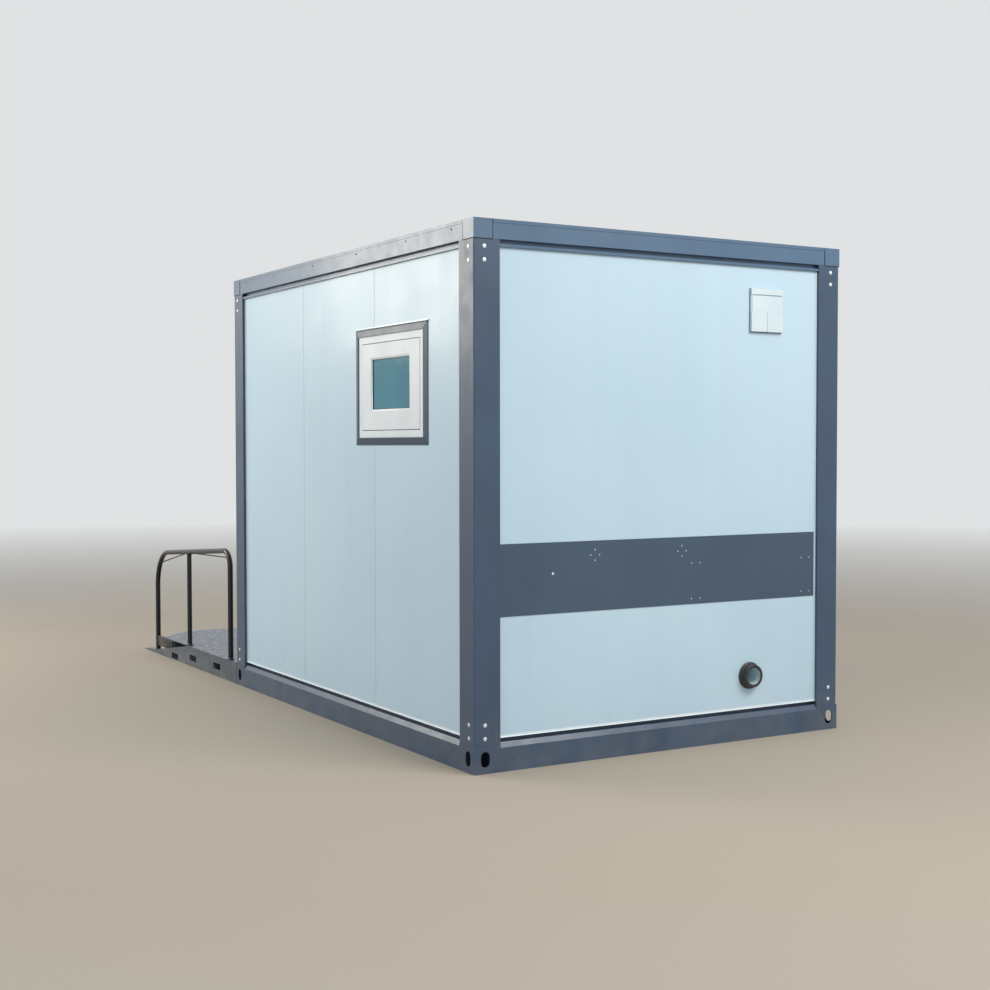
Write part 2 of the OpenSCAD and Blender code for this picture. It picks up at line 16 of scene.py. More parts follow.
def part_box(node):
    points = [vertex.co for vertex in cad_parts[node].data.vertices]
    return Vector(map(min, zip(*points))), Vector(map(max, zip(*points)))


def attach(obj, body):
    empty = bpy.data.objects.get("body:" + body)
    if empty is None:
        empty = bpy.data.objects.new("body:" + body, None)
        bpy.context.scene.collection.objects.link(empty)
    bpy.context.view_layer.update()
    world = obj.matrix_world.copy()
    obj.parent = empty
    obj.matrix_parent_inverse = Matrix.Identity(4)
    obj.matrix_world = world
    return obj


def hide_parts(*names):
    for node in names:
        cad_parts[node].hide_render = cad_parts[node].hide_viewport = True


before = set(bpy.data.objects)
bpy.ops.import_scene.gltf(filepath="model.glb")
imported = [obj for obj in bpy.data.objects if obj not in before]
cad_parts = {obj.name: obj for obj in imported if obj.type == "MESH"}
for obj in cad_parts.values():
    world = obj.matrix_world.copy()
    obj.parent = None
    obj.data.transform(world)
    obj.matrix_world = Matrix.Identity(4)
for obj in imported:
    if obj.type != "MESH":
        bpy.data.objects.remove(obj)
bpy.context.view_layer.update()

log = logging.getLogger("portable_toilet")
logging.basicConfig(level=logging.INFO, format="%(message)s")

BODY = "root"

Colour = tuple[float, float, float]
Point = tuple[float, float, float]
Outline = list[tuple[float, float]]


class Hand(Enum):
    """The two long sides of the cabin."""

    RIGHT = 1
    LEFT = -1


class End(Enum):
    """The two ends of the cabin."""

    REAR = 1
    FRONT = -1


class Run(Enum):
    """The direction that a straight profile is run along."""

    ALONG_X = "x"
    ALONG_Y = "y"
    ALONG_Z = "z"


def linear(rgb: Colour) -> tuple[float, float, float, float]:
    """Turn a display colour into the linear colour that a shader takes.

    Args:
        rgb: Red, green and blue from 0 to 255.

    Returns:
        Linear red, green, blue and an alpha of one.
    """
    parts = [c / 255 for c in rgb]
    return (*[c / 12.92 if c <= 0.04045 else ((c + 0.055) / 1.055) ** 2.4 for c in parts], 1.0)


def node_box(name: str) -> tuple[Vector, Vector]:
    """Return the lowest and highest corners of a CAD node."""
    low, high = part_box(name)
    return Vector(low), Vector(high)


# ------------------------------------------------------------------ finishes


class NodeTable:
    """A material's node tree with short calls for the nodes that the finishes share."""

    def __init__(self, name: str) -> None:
        """Start an empty material with a Principled shader.

        Args:
            name: The name of the material.
        """
        self.material = bpy.data.materials.new(name)
        self.material.use_nodes = True
        self.nodes = self.material.node_tree.nodes
        self.links = self.material.node_tree.links
        self.shader = self.nodes["Principled BSDF"]
        self.place = self.nodes.new("ShaderNodeTexCoord").outputs["Object"]

    def set(self, **values: object) -> None:
        """Set the shader's own sockets.

        Args:
            values: Socket names with underscores for spaces, and their values.
        """
        for key, value in values.items():
            self.shader.inputs[key.replace("_", " ")].default_value = value

    def drive(self, socket: str, source: bpy.types.NodeSocket) -> None:
        """Link a source into one of the shader's sockets."""
        self.links.new(source, self.shader.inputs[socket])

    def stretched(self, scale: Point) -> bpy.types.NodeSocket:
        """Return the object's coordinates stretched by a scale.

        Args:
            scale: The scale along X, Y and Z.

        Returns:
            The stretched coordinates.
        """
        mapping = self.nodes.new("ShaderNodeMapping")
        mapping.inputs["Scale"].default_value = scale
        self.links.new(self.place, mapping.inputs["Vector"])
        return mapping.outputs["Vector"]

    def noise(self, scale: float, detail: float = 3.0, stretch: Point = (1, 1, 1),
              rough: float = 0.5) -> bpy.types.NodeSocket:
        """Add a noise pattern.

        Args:
            scale: Patches to the metre.
            detail: Octaves of finer noise.
            stretch: Scale along each axis.
            rough: Weight of the finer octaves.

        Returns:
            The noise's value, from 0 to 1.
        """
        tex = self.nodes.new("ShaderNodeTexNoise")
        tex.inputs["Scale"].default_value = scale
        tex.inputs["Detail"].default_value = detail
        tex.inputs["Roughness"].default_value = rough
        self.links.new(self.stretched(stretch), tex.inputs["Vector"])
        return tex.outputs["Fac"]

    def axis(self, index: int) -> bpy.types.NodeSocket:
        """Return one of the object's coordinates, 0 for X, 1 for Y and 2 for Z."""
        split = self.nodes.new("ShaderNodeSeparateXYZ")
        self.links.new(self.place, split.inputs["Vector"])
        return split.outputs[index]

    def span(self, source: bpy.types.NodeSocket, from_low: float, from_high: float,
             to_low: float = 0.0, to_high: float = 1.0) -> bpy.types.NodeSocket:
        """Map a range of a value onto another range, held at its ends.

        Args:
            source: The value to map.
            from_low: The source's value at the start.
            from_high: The source's value at the end.
            to_low: The result at the start.
            to_high: The result at the end.

        Returns:
            The mapped value.
        """
        ranger = self.nodes.new("ShaderNodeMapRange")
        for key, value in (("From Min", from_low), ("From Max", from_high),
                           ("To Min", to_low), ("To Max", to_high)):
            ranger.inputs[key].default_value = value
        self.links.new(source, ranger.inputs["Value"])
        return ranger.outputs["Result"]

    def math(self, kind: str, a: bpy.types.NodeSocket,
             b: bpy.types.NodeSocket | float) -> bpy.types.NodeSocket:
        """Combine two values.

        Args:
            kind: The Math node's operation.
            a: The first value.
            b: The second value, linked or fixed.

        Returns:
            The result.
        """
        node = self.nodes.new("ShaderNodeMath")
        node.operation = kind
        self.links.new(a, node.inputs[0])
        if isinstance(b, (int, float)):
            node.inputs[1].default_value = b
        else:
            self.links.new(b, node.inputs[1])
        return node.outputs[0]

    def mix(self, fac: bpy.types.NodeSocket, a: bpy.types.NodeSocket | Colour,
            b: bpy.types.NodeSocket | Colour) -> bpy.types.NodeSocket:
        """Mix two colours.

        Args:
            fac: How much of the second colour shows.
            a: The first colour, linked or as display values.
            b: The second colour, linked or as display values.

        Returns:
            The mixed colour.
        """
        node = self.nodes.new("ShaderNodeMix")
        node.data_type = "RGBA"
        self.links.new(fac, node.inputs[0])
        for socket, value in ((node.inputs[6], a), (node.inputs[7], b)):
            if isinstance(value, tuple):
                socket.default_value = linear(value)
            else:
                self.links.new(value, socket)
        return node.outputs[2]

    def bump(self, heights: list[tuple[bpy.types.NodeSocket, float]]) -> None:
        """Chain height patterns into the shader's normal.

        Args:
            heights: Each pattern with its depth in metres.
        """
        last = None
        for source, depth in heights:
            node = self.nodes.new("ShaderNodeBump")
            node.inputs["Strength"].default_value = 1.0
            node.inputs["Distance"].default_value = depth
            self.links.new(source, node.inputs["Height"])
            if last is not None:
                self.links.new(last, node.inputs["Normal"])
            last = node.outputs["Normal"]
        self.drive("Normal", last)


@dataclass(frozen=True)
class Finish:
    """A painted, plated or moulded surface with uneven colour, gloss and grain."""

    name: str
    colour: Colour
    second: Colour
    roughness: float
    spread: float = 0.08
    metallic: float = 0.0
    coat: float = 0.0
    ior: float = 1.5
    patch: float = 3.0
    grain: float = 600.0
    grain_depth: float = 0.00005
    wave_depth: float = 0.0
    streak: float = 0.0
    # Darker towards the ground: dust, and on the wall panels also painted shade.
    dust_and_shade: float = 0.0
    dust_and_shade_top: float = 0.35
    dust_and_shade_colour: Colour = (150, 146, 138)
    chips: float = 0.0
    chip_colour: Colour = (168, 172, 176)

    def colour_nodes(self, bench: NodeTable) -> bpy.types.NodeSocket:
        """Build the colour: patches, rain streaks, a darker tone near the ground (dust, and on the wall
        panels painted shade as well) and small chips.

        Args:
            bench: The material's nodes.

        Returns:
            The colour.
        """
        patches = bench.span(bench.noise(self.patch, 4.0), 0.35, 0.65)
        colour = bench.mix(patches, self.colour, self.second)
        if self.streak:
            runs = bench.noise(9.0, 3.0, (1, 1, 0.06))
            fac = bench.span(runs, 0.52, 0.75, 0.0, self.streak)
            colour = bench.mix(fac, colour, tuple(c * 0.86 for c in self.second))
        # Darkening near the ground: dust, and on the wall panels also painted shade at the foot of the
        # walls.
        if self.dust_and_shade:
            level = bench.span(bench.axis(2), 0.0, self.dust_and_shade_top, 1.0, 0.0)
            broken = bench.math("MULTIPLY", level, bench.span(bench.noise(7.0, 5.0), 0.3, 0.7))
            fac = bench.math("MULTIPLY", broken, self.dust_and_shade)
            colour = bench.mix(fac, colour, self.dust_and_shade_colour)
        if self.chips:
            spots = bench.span(bench.noise(120.0, 2.0), 0.70, 0.73)
            areas = bench.span(bench.noise(5.0, 2.0), 0.50, 0.62)
            fac = bench.math("MULTIPLY", bench.math("MULTIPLY", spots, areas), self.chips)
            colour = bench.mix(fac, colour, self.chip_colour)
        return colour

    def heights(self, bench: NodeTable) -> list[tuple[bpy.types.NodeSocket, float]]:
        """Build the bump patterns: fine grain, and the slow waves of thin sheet.

        Args:
            bench: The material's nodes.

        Returns:
            Each pattern with its depth in metres.
        """
        found = [(bench.noise(self.grain, 2.0), self.grain_depth)]
        if self.wave_depth:
            found.append((bench.noise(1.6, 1.0), self.wave_depth))
        return found

    def make(self) -> bpy.types.Material:
        """Build the material."""
        bench = NodeTable(self.name)
        bench.set(Metallic=self.metallic, IOR=self.ior, Coat_Weight=self.coat)
        if self.coat:
            bench.set(Coat_Roughness=0.08)
        bench.drive("Base Color", self.colour_nodes(bench))
        gloss = bench.span(bench.noise(self.patch * 4.0, 3.0), 0.3, 0.7,
                           self.roughness - self.spread, self.roughness + self.spread)
        bench.drive("Roughness", gloss)
        bench.bump(self.heights(bench))
        return bench.material


@dataclass(frozen=True)
class PanelFinish(Finish):
    """Coated sandwich panel: a finish with the fine joints between neighbouring panels."""

    joints: tuple[float, ...] = ()
    joint_axis: int = 1
    joint_w: float = 0.003
    joint_colour: Colour = (150, 172, 182)

    def joint_lines(self, bench: NodeTable) -> bpy.types.NodeSocket | None:
        """Return a value that is one on the joints, or None where there are none.

        Args:
            bench: The material's nodes.

        Returns:
            The joints' mask.
        """
        mask = None
        for at in self.joints:
            off = bench.math("ABSOLUTE", bench.math("SUBTRACT", bench.axis(self.joint_axis), at), 0.0)
            line = bench.span(off, self.joint_w * 0.3, self.joint_w, 1.0, 0.0)
            mask = line if mask is None else bench.math("MAXIMUM", mask, line)
        return mask

    def colour_nodes(self, bench: NodeTable) -> bpy.types.NodeSocket:
        """Add the joints and faint upright roll marks to the colour.

        Args:
            bench: The material's nodes.

        Returns:
            The colour.
        """
        colour = super().colour_nodes(bench)
        rolls = bench.span(bench.noise(3.2, 2.0, (1, 1, 0.01)), 0.4, 0.6, 0.0, 0.14)
        colour = bench.mix(rolls, colour, tuple(min(c * 1.04, 255) for c in self.colour))
        mask = self.joint_lines(bench)
        if mask is None:
            return colour
        return bench.mix(bench.math("MULTIPLY", mask, 0.55), colour, self.joint_colour)

    def heights(self, bench: NodeTable) -> list[tuple[bpy.types.NodeSocket, float]]:
        """Sink the joints into the sheet.

        Args:
            bench: The material's nodes.

        Returns:
            Each pattern with its depth in metres.
        """
        found = super().heights(bench)
        mask = self.joint_lines(bench)
        if mask is not None:
            found.append((bench.math("MULTIPLY", mask, -1.0), 0.0015))
        return found


@dataclass(frozen=True)
class GlassFinish(Finish):
    """Tinted double glazing in front of a dark room."""

    clear: float = 0.35

    def make(self) -> bpy.types.Material:
        """Build the material with some light passing through it."""
        material = super().make()
        shader = material.node_tree.nodes["Principled BSDF"]
        shader.inputs["Transmission Weight"].default_value = self.clear
        return material


@dataclass(frozen=True)
class DeckFinish(Finish):
    """Painted deck plate with rows of small raised grip marks."""

    pitch: float = 0.038
    lug_height: float = 0.0009

    def heights(self, bench: NodeTable) -> list[tuple[bpy.types.NodeSocket, float]]:
        """Raise the grip marks from the plate.

        Args:
            bench: The material's nodes.

        Returns:
            Each pattern with its depth in metres.
        """
        wave = 2 * math.pi / self.pitch
        a = bench.math("SINE", bench.math("MULTIPLY", bench.axis(0), wave), 0.0)
        b = bench.math("SINE", bench.math("MULTIPLY", bench.axis(1), wave * 0.62), 0.0)
        lug = bench.span(bench.math("MULTIPLY", a, b), 0.55, 0.8)
        return super().heights(bench) + [(lug, self.lug_height)]


@dataclass
class Finishes:
    """Every finish on the cabin, made once and shared by its pieces."""

    made: dict[str, bpy.types.Material] = field(default_factory=dict)

    def add(self, key: str, finish: Finish) -> None:
        """Make a finish and keep it under a short key."""
        self.made[key] = finish.make()

    def build(self) -> None:
        """Make every finish."""
        blue, blue_dark = (62, 83, 107), (57, 76, 99)
        self.add("frame", Finish("frame_paint_blue_grey", blue, blue_dark, 0.38, 0.06, coat=0.08,
                                 grain=900, grain_depth=0.00004, wave_depth=0.0006, streak=0.12,
                                 dust_and_shade=0.20, chips=0.35))
        self.add("fascia", Finish("roof_rail_paint", (80, 108, 136), (74, 101, 128), 0.34, 0.06,
                                  coat=0.2, grain=900, grain_depth=0.00004, wave_depth=0.0005,
                                  streak=0.10, chips=0.2))
        self.add("trim", Finish("surround_paint", (50, 70, 94), (45, 64, 87), 0.38, 0.06,
                                grain=900, grain_depth=0.00003))
        self.add("band", Finish("band_paint", (66, 86, 106), (62, 81, 100), 0.44, 0.06, patch=2.0,
                                grain=900, grain_depth=0.00004, wave_depth=0.0008, streak=0.15))
        low = node_box("right_wall_rear")[0].y
        low_two = node_box("right_wall_middle")[0].y
        skin, skin_two = (190, 215, 229), (184, 210, 226)
        # The panels' darkening towards the ground is partly painted shade, beside dust.
        panel = dict(coat=0.12, patch=0.9, grain=1100, grain_depth=0.00003, wave_depth=0.0009,
                     streak=0.10, dust_and_shade=0.10, dust_and_shade_top=0.55)
        self.add("side_skin", PanelFinish("panel_skin_side", skin, skin_two, 0.34, 0.05,
                                          joints=(low, low_two), **panel))
        self.add("end_skin", PanelFinish("panel_skin_end", skin, skin_two, 0.36, 0.05,
                                         joint_axis=0, **panel))
        self.add("roof_skin", Finish("roof_sheet_coating", (205, 214, 218), (194, 204, 209), 0.45,
                                     0.08, streak=0.0, patch=1.4, wave_depth=0.001))
        self.add("drip", Finish("drip_edge_white", (226, 237, 241), (216, 229, 235), 0.3, 0.05,
                                coat=0.2, patch=6))
        self.add("white", Finish("window_plastic_white", (226, 233, 237), (217, 226, 231), 0.36,
                                 0.05, patch=5, grain=1500, grain_depth=0.00002))
        self.add("vent", Finish("vent_plastic_white", (208, 224, 230), (201, 218, 225), 0.4, 0.05,
                                patch=6, grain=1500, grain_depth=0.00003))
        self.add("glass", GlassFinish("pane_tinted", (66, 158, 182), (54, 140, 165), 0.10, 0.03,
                                      ior=1.45, patch=2.5, coat=0.15, grain=40, grain_depth=0.00001,
                                      wave_depth=0.0006))
        self.add("gasket", Finish("gasket_rubber", (34, 37, 40), (28, 30, 33), 0.62, 0.08,
                                  grain=1400, grain_depth=0.00008))
        self.add("rubber", Finish("outlet_rubber_black", (40, 42, 42), (33, 35, 36), 0.50, 0.10,
                                  patch=30, grain=1200, grain_depth=0.0001, dust_and_shade=0.15, dust_and_shade_top=0.5))
        self.add("pipe", Finish("waste_pipe_grey", (206, 226, 232), (192, 214, 222), 0.38, 0.08,
                                patch=14, grain=900, grain_depth=0.00004))
        self.add("deck", DeckFinish("deck_paint_grey", (70, 82, 100), (61, 73, 91), 0.30, 0.10,
                                    coat=0.0, patch=5, streak=0.0, chips=0.8))
        self.add("cheek", Finish("platform_paint", (72, 84, 98), (64, 76, 90), 0.40, 0.08,
                                 coat=0.15, patch=5, dust_and_shade=0.35, dust_and_shade_top=0.18, chips=0.7))
        self.add("rail", Finish("handrail_paint_black", (17, 20, 23), (13, 16, 19), 0.26, 0.06,
                                coat=0.15, patch=14, grain=800, grain_depth=0.00005, chips=0.25))
        self.add("zinc", Finish("zinc_plate", (236, 240, 242), (214, 220, 224), 0.34, 0.10,
                                metallic=0.35, patch=160, grain=900, grain_depth=0.00006))
        self.add("steel_dark", Finish("joist_paint", (78, 86, 92), (68, 76, 82), 0.5, 0.08,
                                      dust_and_shade=0.3))
        self.add("floor", Finish("floor_board_grey", (124, 122, 116), (112, 110, 104), 0.6, 0.08,
                                 patch=8, grain=500, grain_depth=0.0002))
        self.add("door", PanelFinish("door_skin", (200, 219, 228), (193, 213, 223), 0.36, 0.05,
                                     joint_axis=0, **panel))
        self.add("lock", Finish("handle_black", (38, 40, 42), (32, 34, 36), 0.38, 0.06, coat=0.2,
                                patch=20))

    def dress(self, piece: bpy.types.Object, key: str) -> None:
        """Give a piece or a CAD node one finish on all its slots.

        Args:
            piece: The object to dress.
            key: The finish's short key.
        """
        material = self.made[key]
        if not piece.material_slots:
            piece.data.materials.append(material)
        for held in piece.material_slots:
            held.material = material


# ------------------------------------------------------------------ modelling


class Workshop:
    """The modelling steps that every sub-assembly shares."""

    def __init__(self, finishes: Finishes) -> None:
        """Keep the finishes and an empty list of what has been made.

        Args:
            finishes: The cabin's finishes.
        """
        self.finishes = finishes
        self.made: list[bpy.types.Object] = []

    @staticmethod
    def clear() -> None:
        """Leave edit mode and deselect everything."""
        if bpy.context.mode != "OBJECT":
            bpy.ops.object.mode_set(mode="OBJECT")
        bpy.ops.object.select_all(action="DESELECT")

    @classmethod
    def hold(cls, obj: bpy.types.Object) -> None:
        """Select one object alone and make it active."""
        cls.clear()
        obj.select_set(True)
        bpy.context.view_layer.objects.active = obj

    @classmethod
    def apply(cls, obj: bpy.types.Object) -> None:
        """Move an object's place, turn and scale into its mesh."""
        cls.hold(obj)
        bpy.ops.object.transform_apply(location=True, rotation=True, scale=True)

    @classmethod
    def tidy_normals(cls, obj: bpy.types.Object) -> None:
        """Merge doubled points and point every face outwards."""
        cls.hold(obj)
        bpy.ops.object.mode_set(mode="EDIT")
        bpy.ops.mesh.select_all(action="SELECT")
        bpy.ops.mesh.remove_doubles(threshold=0.00001)
        bpy.ops.mesh.normals_make_consistent(inside=False)
        bpy.ops.object.mode_set(mode="OBJECT")

    @classmethod
    def round_edges(cls, obj: bpy.types.Object, width: float, segments: int = 2) -> None:
        """Bevel an object's sharp edges.

        Args:
            obj: The object.
            width: The bevel's width in metres.
            segments: Steps across the bevel.
        """
        cls.hold(obj)
        bevel = obj.modifiers.new("Edges", "BEVEL")
        bevel.width = width
        bevel.segments = segments
        bevel.limit_method = "ANGLE"
        bevel.angle_limit = math.radians(35)
        bpy.ops.object.modifier_apply(modifier=bevel.name)

    @classmethod
    def block(cls, low: Point | list[float], high: Point | list[float],
              bevel: float = 0.0015) -> bpy.types.Object:
        """Model a block with rounded edges.

        Args:
            low: Its lowest corner.
            high: Its highest corner.
            bevel: Width of its rounded edges.

        Returns:
            The block.
        """
        cls.clear()
        middle = [(a + b) / 2 for a, b in zip(low, high)]
        size = [b - a for a, b in zip(low, high)]
        bpy.ops.mesh.primitive_cube_add(size=1, location=middle)
        obj = bpy.context.object
        obj.scale = size
        cls.apply(obj)
        cls.round_edges(obj, bevel)
        return obj

    @classmethod
    def turned(cls, rings: Outline, hollow: bool = False, steps: int = 32) -> bpy.types.Object:
        """Model a round piece about the Z axis by extruding and scaling a disc ring by ring.

        Args:
            rings: Radius and height of each ring, from the back.
            hollow: Whether the last ring is joined back to the first, which leaves a bore.
            steps: Points round the axis.

        Returns:
            The round piece, standing on the origin.
        """
        cls.clear()
        radius, height = rings[0]
        bpy.ops.mesh.primitive_circle_add(vertices=steps, radius=radius, fill_type="NGON",
                                          location=(0, 0, height))
        obj = bpy.context.object
        cls.apply(obj)
        bpy.ops.object.mode_set(mode="EDIT")
        bpy.ops.mesh.select_all(action="SELECT")
        for wide, up in rings[1:]:
            bpy.ops.mesh.extrude_region_move(TRANSFORM_OT_translate={"value": (0, 0, up - height)})
            scale = wide / radius
            bpy.ops.transform.resize(value=(scale, scale, 1), center_override=(0, 0, up))
            radius, height = wide, up
        if hollow:
            bpy.ops.object.mode_set(mode="OBJECT")
            for face in obj.data.polygons:
                face.select = len(face.vertices) == steps
            bpy.ops.object.mode_set(mode="EDIT")
            bpy.ops.mesh.select_mode(type="FACE")
            bpy.ops.mesh.delete(type="ONLY_FACE")
            bpy.ops.mesh.select_mode(type="EDGE")
            bpy.ops.mesh.select_all(action="DESELECT")
            bpy.ops.mesh.select_non_manifold()
            bpy.ops.mesh.bridge_edge_loops()
        bpy.ops.object.mode_set(mode="OBJECT")
        cls.tidy_normals(obj)
        return obj

    @classmethod
    def outline(cls, outline: Outline, run: Run, start: float, end: float) -> bpy.types.Object:
        """Model a straight profile by extruding a drawn outline.

        Args:
            outline: The outline's points: (y, z) along X, (x, z) along Y, or (x, y) along Z.
            run: The direction of the run.
            start: Where the run starts.
            end: Where it ends.

        Returns:
            The profile.
        """
        cls.clear()
        bpy.ops.mesh.primitive_circle_add(vertices=len(outline), radius=1, fill_type="NGON")
        obj = bpy.context.object
        for vertex, (a, b) in zip(obj.data.vertices, outline):
            vertex.co = {Run.ALONG_X: (start, a, b), Run.ALONG_Y: (a, start, b),
                         Run.ALONG_Z: (a, b, start)}[run]
        step = {Run.ALONG_X: (end - start, 0, 0), Run.ALONG_Y: (0, end - start, 0),
                Run.ALONG_Z: (0, 0, end - start)}[run]
        bpy.ops.object.mode_set(mode="EDIT")
        bpy.ops.mesh.select_all(action="SELECT")
        bpy.ops.mesh.extrude_region_move(TRANSFORM_OT_translate={"value": step})
        bpy.ops.object.mode_set(mode="OBJECT")
        cls.tidy_normals(obj)
        return obj

    @classmethod
    def tube(cls, points: list[Point], radius: float, closed: bool = False,
             sides: int = 6) -> bpy.types.Object:
        """Model a round bar along a path.

        Args:
            points: The path's points.
            radius: The bar's radius.
            closed: Whether the path is a loop.
            sides: Fineness of the round, a quarter of its points less one.

        Returns:
            The bar as a mesh.
        """
        cls.clear()
        data = bpy.data.curves.new("path", "CURVE")
        data.dimensions = "3D"
        data.bevel_depth = radius
        data.bevel_resolution = sides
        data.use_fill_caps = not closed
        spline = data.splines.new("POLY")
        spline.points.add(len(points) - 1)
        for knot, place in zip(spline.points, points):
            knot.co = (*place, 1.0)
        spline.use_cyclic_u = closed
        obj = bpy.data.objects.new("path", data)
        bpy.context.collection.objects.link(obj)
        cls.hold(obj)
        bpy.ops.object.convert(target="MESH")
        obj = bpy.context.object
        cls.tidy_normals(obj)
        return obj

    @classmethod
    def aim(cls, obj: bpy.types.Object, direction: Point, place: Point) -> bpy.types.Object:
        """Turn a piece's Z axis to a direction and carry it to its place.

        Args:
            obj: The piece, modelled about the Z axis.
            direction: The direction that its Z axis takes.
            place: Where its origin goes.

        Returns:
            The same piece.
        """
        turn = Vector((0, 0, 1)).rotation_difference(Vector(direction)).to_matrix().to_4x4()
        obj.matrix_world = Matrix.Translation(place) @ turn
        cls.apply(obj)
        return obj

    @classmethod
    def copies(cls, obj: bpy.types.Object, places: list[Point],
               direction: Point = (0, 0, 1)) -> bpy.types.Object:
        """Copy a piece to several places and join the copies.

        Args:
            obj: The piece, modelled at the origin; it is used up.
            places: Where each copy goes.
            direction: The direction that each copy's Z axis takes.

        Returns:
            The joined copies.
        """
        found = []
        for place in places:
            twin = obj.copy()
            twin.data = obj.data.copy()
            bpy.context.collection.objects.link(twin)
            found.append(cls.aim(twin, direction, place))
        bpy.data.objects.remove(obj, do_unlink=True)
        return cls.join(found)

    @classmethod
    def join(cls, parts: list[bpy.types.Object]) -> bpy.types.Object:
        """Join several pieces into the first."""
        cls.clear()
        for part in parts:
            part.select_set(True)
        bpy.context.view_layer.objects.active = parts[0]
        if len(parts) > 1:
            bpy.ops.object.join()
        return parts[0]

    def hand_over(self, obj: bpy.types.Object, name: str, key: str, slot: str,
                  replaces: tuple[str, ...] = (), angle: float = 35.0) -> bpy.types.Object:
        """Name, smooth, dress and attach a finished piece.

        Args:
            obj: The piece.
            name: Its name.
            key: The key of its finish.
            slot: The record's material slot; not used.
            replaces: CAD nodes that it stands for.
            angle: Faces that meet at less than this many degrees are smooth.

        Returns:
            The piece.
        """
        self.apply(obj)
        obj.name = name
        obj.data.name = name
        self.hold(obj)
        bpy.ops.object.shade_smooth_by_angle(angle=math.radians(angle))
        self.finishes.dress(obj, key)
        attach(obj, BODY)
        if replaces:
            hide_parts(*replaces)
        self.made.append(obj)
        log.info("%s: %d faces", name, len(obj.data.polygons))
        return obj


# ------------------------------------------------------------------ sub-assemblies


@dataclass
class SteelFrame:
    """Posts, corner blocks and rails: their paint, bolts, screws and corner seams."""

    shop: Workshop
    bolt_r: float = 0.0105
    bolt_h: float = 0.0028
    end_in: float = 0.062
    side_in: float = 0.056
    seam_w: float = 0.0045
    low_levels: tuple[float, float] = (0.178, 0.247)
    high_down: tuple[float, float] = (0.140, 0.208)

    def paint(self) -> None:
        """Dress the frame's CAD nodes."""
        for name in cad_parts:
            if name.startswith(("base_", "post_")):
                self.shop.finishes.dress(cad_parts[name], "frame")
            elif name.startswith("roof_rail") or name == "roof_corners":
                self.shop.finishes.dress(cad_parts[name], "fascia")
        self.shop.finishes.dress(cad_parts["floor_joists"], "steel_dark")

    def bolt(self) -> bpy.types.Object:
        """Model one domed bolt head on its washer.

        Returns:
            The bolt, standing on the origin.
        """
        r, h = self.bolt_r, self.bolt_h
        return self.shop.turned([(r, -0.001), (r, h * 0.25), (r * 0.93, h * 0.33), (r * 0.72, h * 0.36),
                                 (r * 0.66, h * 0.66), (r * 0.5, h * 0.88), (r * 0.28, h * 0.98),
                                 (r * 0.05, h)], steps=20)

    def bolts(self) -> None:
        """Model the bolts of each post, four on each of its two outer faces."""
        top = node_box("roof_corners")[1].z
        levels = [*self.low_levels, *[top - d for d in self.high_down]]
        for end in End:
            for hand in Hand:
                name = f"{end.name.lower()}_{hand.name.lower()}"
                low, high = node_box(f"post_{name}")
                face_x = high.x if hand is Hand.RIGHT else low.x
                face_y = high.y if end is End.REAR else low.y
                x = face_x - hand.value * self.end_in
                y = face_y - end.value * self.side_in
                on_end = self.shop.copies(self.bolt(), [(x, face_y, z) for z in levels],
                                          (0, end.value, 0))
                on_side = self.shop.copies(self.bolt(), [(face_x, y, z) for z in levels],
                                           (hand.value, 0, 0))
                self.shop.hand_over(self.shop.join([on_end, on_side]), f"post_bolts_{name}",
                                    "zinc", "frame_paint")

    def fascia_screws(self) -> None:
        """Model the small screws along the roof rails, sunk behind the rails' lips."""
        low, high = node_box("roof_rail_right")
        left = node_box("roof_rail_left")[0]
        z = high.z - 0.034
        rings = [(0.006, -0.001), (0.006, 0.0005), (0.005, 0.0014), (0.0022, 0.0017), (0.0016, 0.0009)]
        places = [low.y + 0.12, low.y + 0.62, low.y + 1.24, low.y + 1.87, low.y + 2.50, high.y - 0.12]
        for hand, x in ((Hand.RIGHT, high.x - 0.002), (Hand.LEFT, left.x + 0.002)):
            row = self.shop.copies(self.shop.turned(rings, steps=12), [(x, y, z) for y in places],
                                   (hand.value, 0, 0))
            self.shop.hand_over(row, f"roof_rail_screws_{hand.name.lower()}", "gasket", "frame_paint")

    def corner_seams(self) -> None:
        """Seal the joints between the roof's corner blocks and the rails and posts beside them."""
        low, high = node_box("roof_corners")
        side = node_box("roof_rail_right")
        block_w = high.y - side[1].y
        t = self.seam_w
        parts = []
        for end in End:
            for hand in Hand:
                corner_x = high.x if hand is Hand.RIGHT else low.x
                corner_y = high.y if end is End.REAR else low.y
                dx, dy = -hand.value, -end.value
                x1, y1 = corner_x + dx * block_w, corner_y + dy * block_w
                spans = [((x1, corner_y + dy * 0.004, low.z), (x1 + dx * t, corner_y, high.z - 0.001)),
                         ((corner_x + dx * 0.004, y1, low.z), (corner_x, y1 + dy * t, high.z - 0.001)),
                         ((corner_x + dx * 0.004, corner_y + dy * 0.001, low.z - t),
                          (corner_x + dx * 0.0012, y1, low.z)),
                         ((corner_x + dx * 0.001, corner_y + dy * 0.004, low.z - t),
                          (x1, corner_y + dy * 0.0012, low.z))]
                for a, b in spans:
                    parts.append(self.shop.block([min(p, q) for p, q in zip(a, b)],
                                                 [max(p, q) for p, q in zip(a, b)], 0.0004))
        self.shop.hand_over(self.shop.join(parts), "roof_corner_seams", "gasket", "frame_paint")

    def build(self) -> None:
        """Build and dress the frame."""
        self.paint()
        self.corner_seams()
        self.bolts()
        self.fascia_screws()


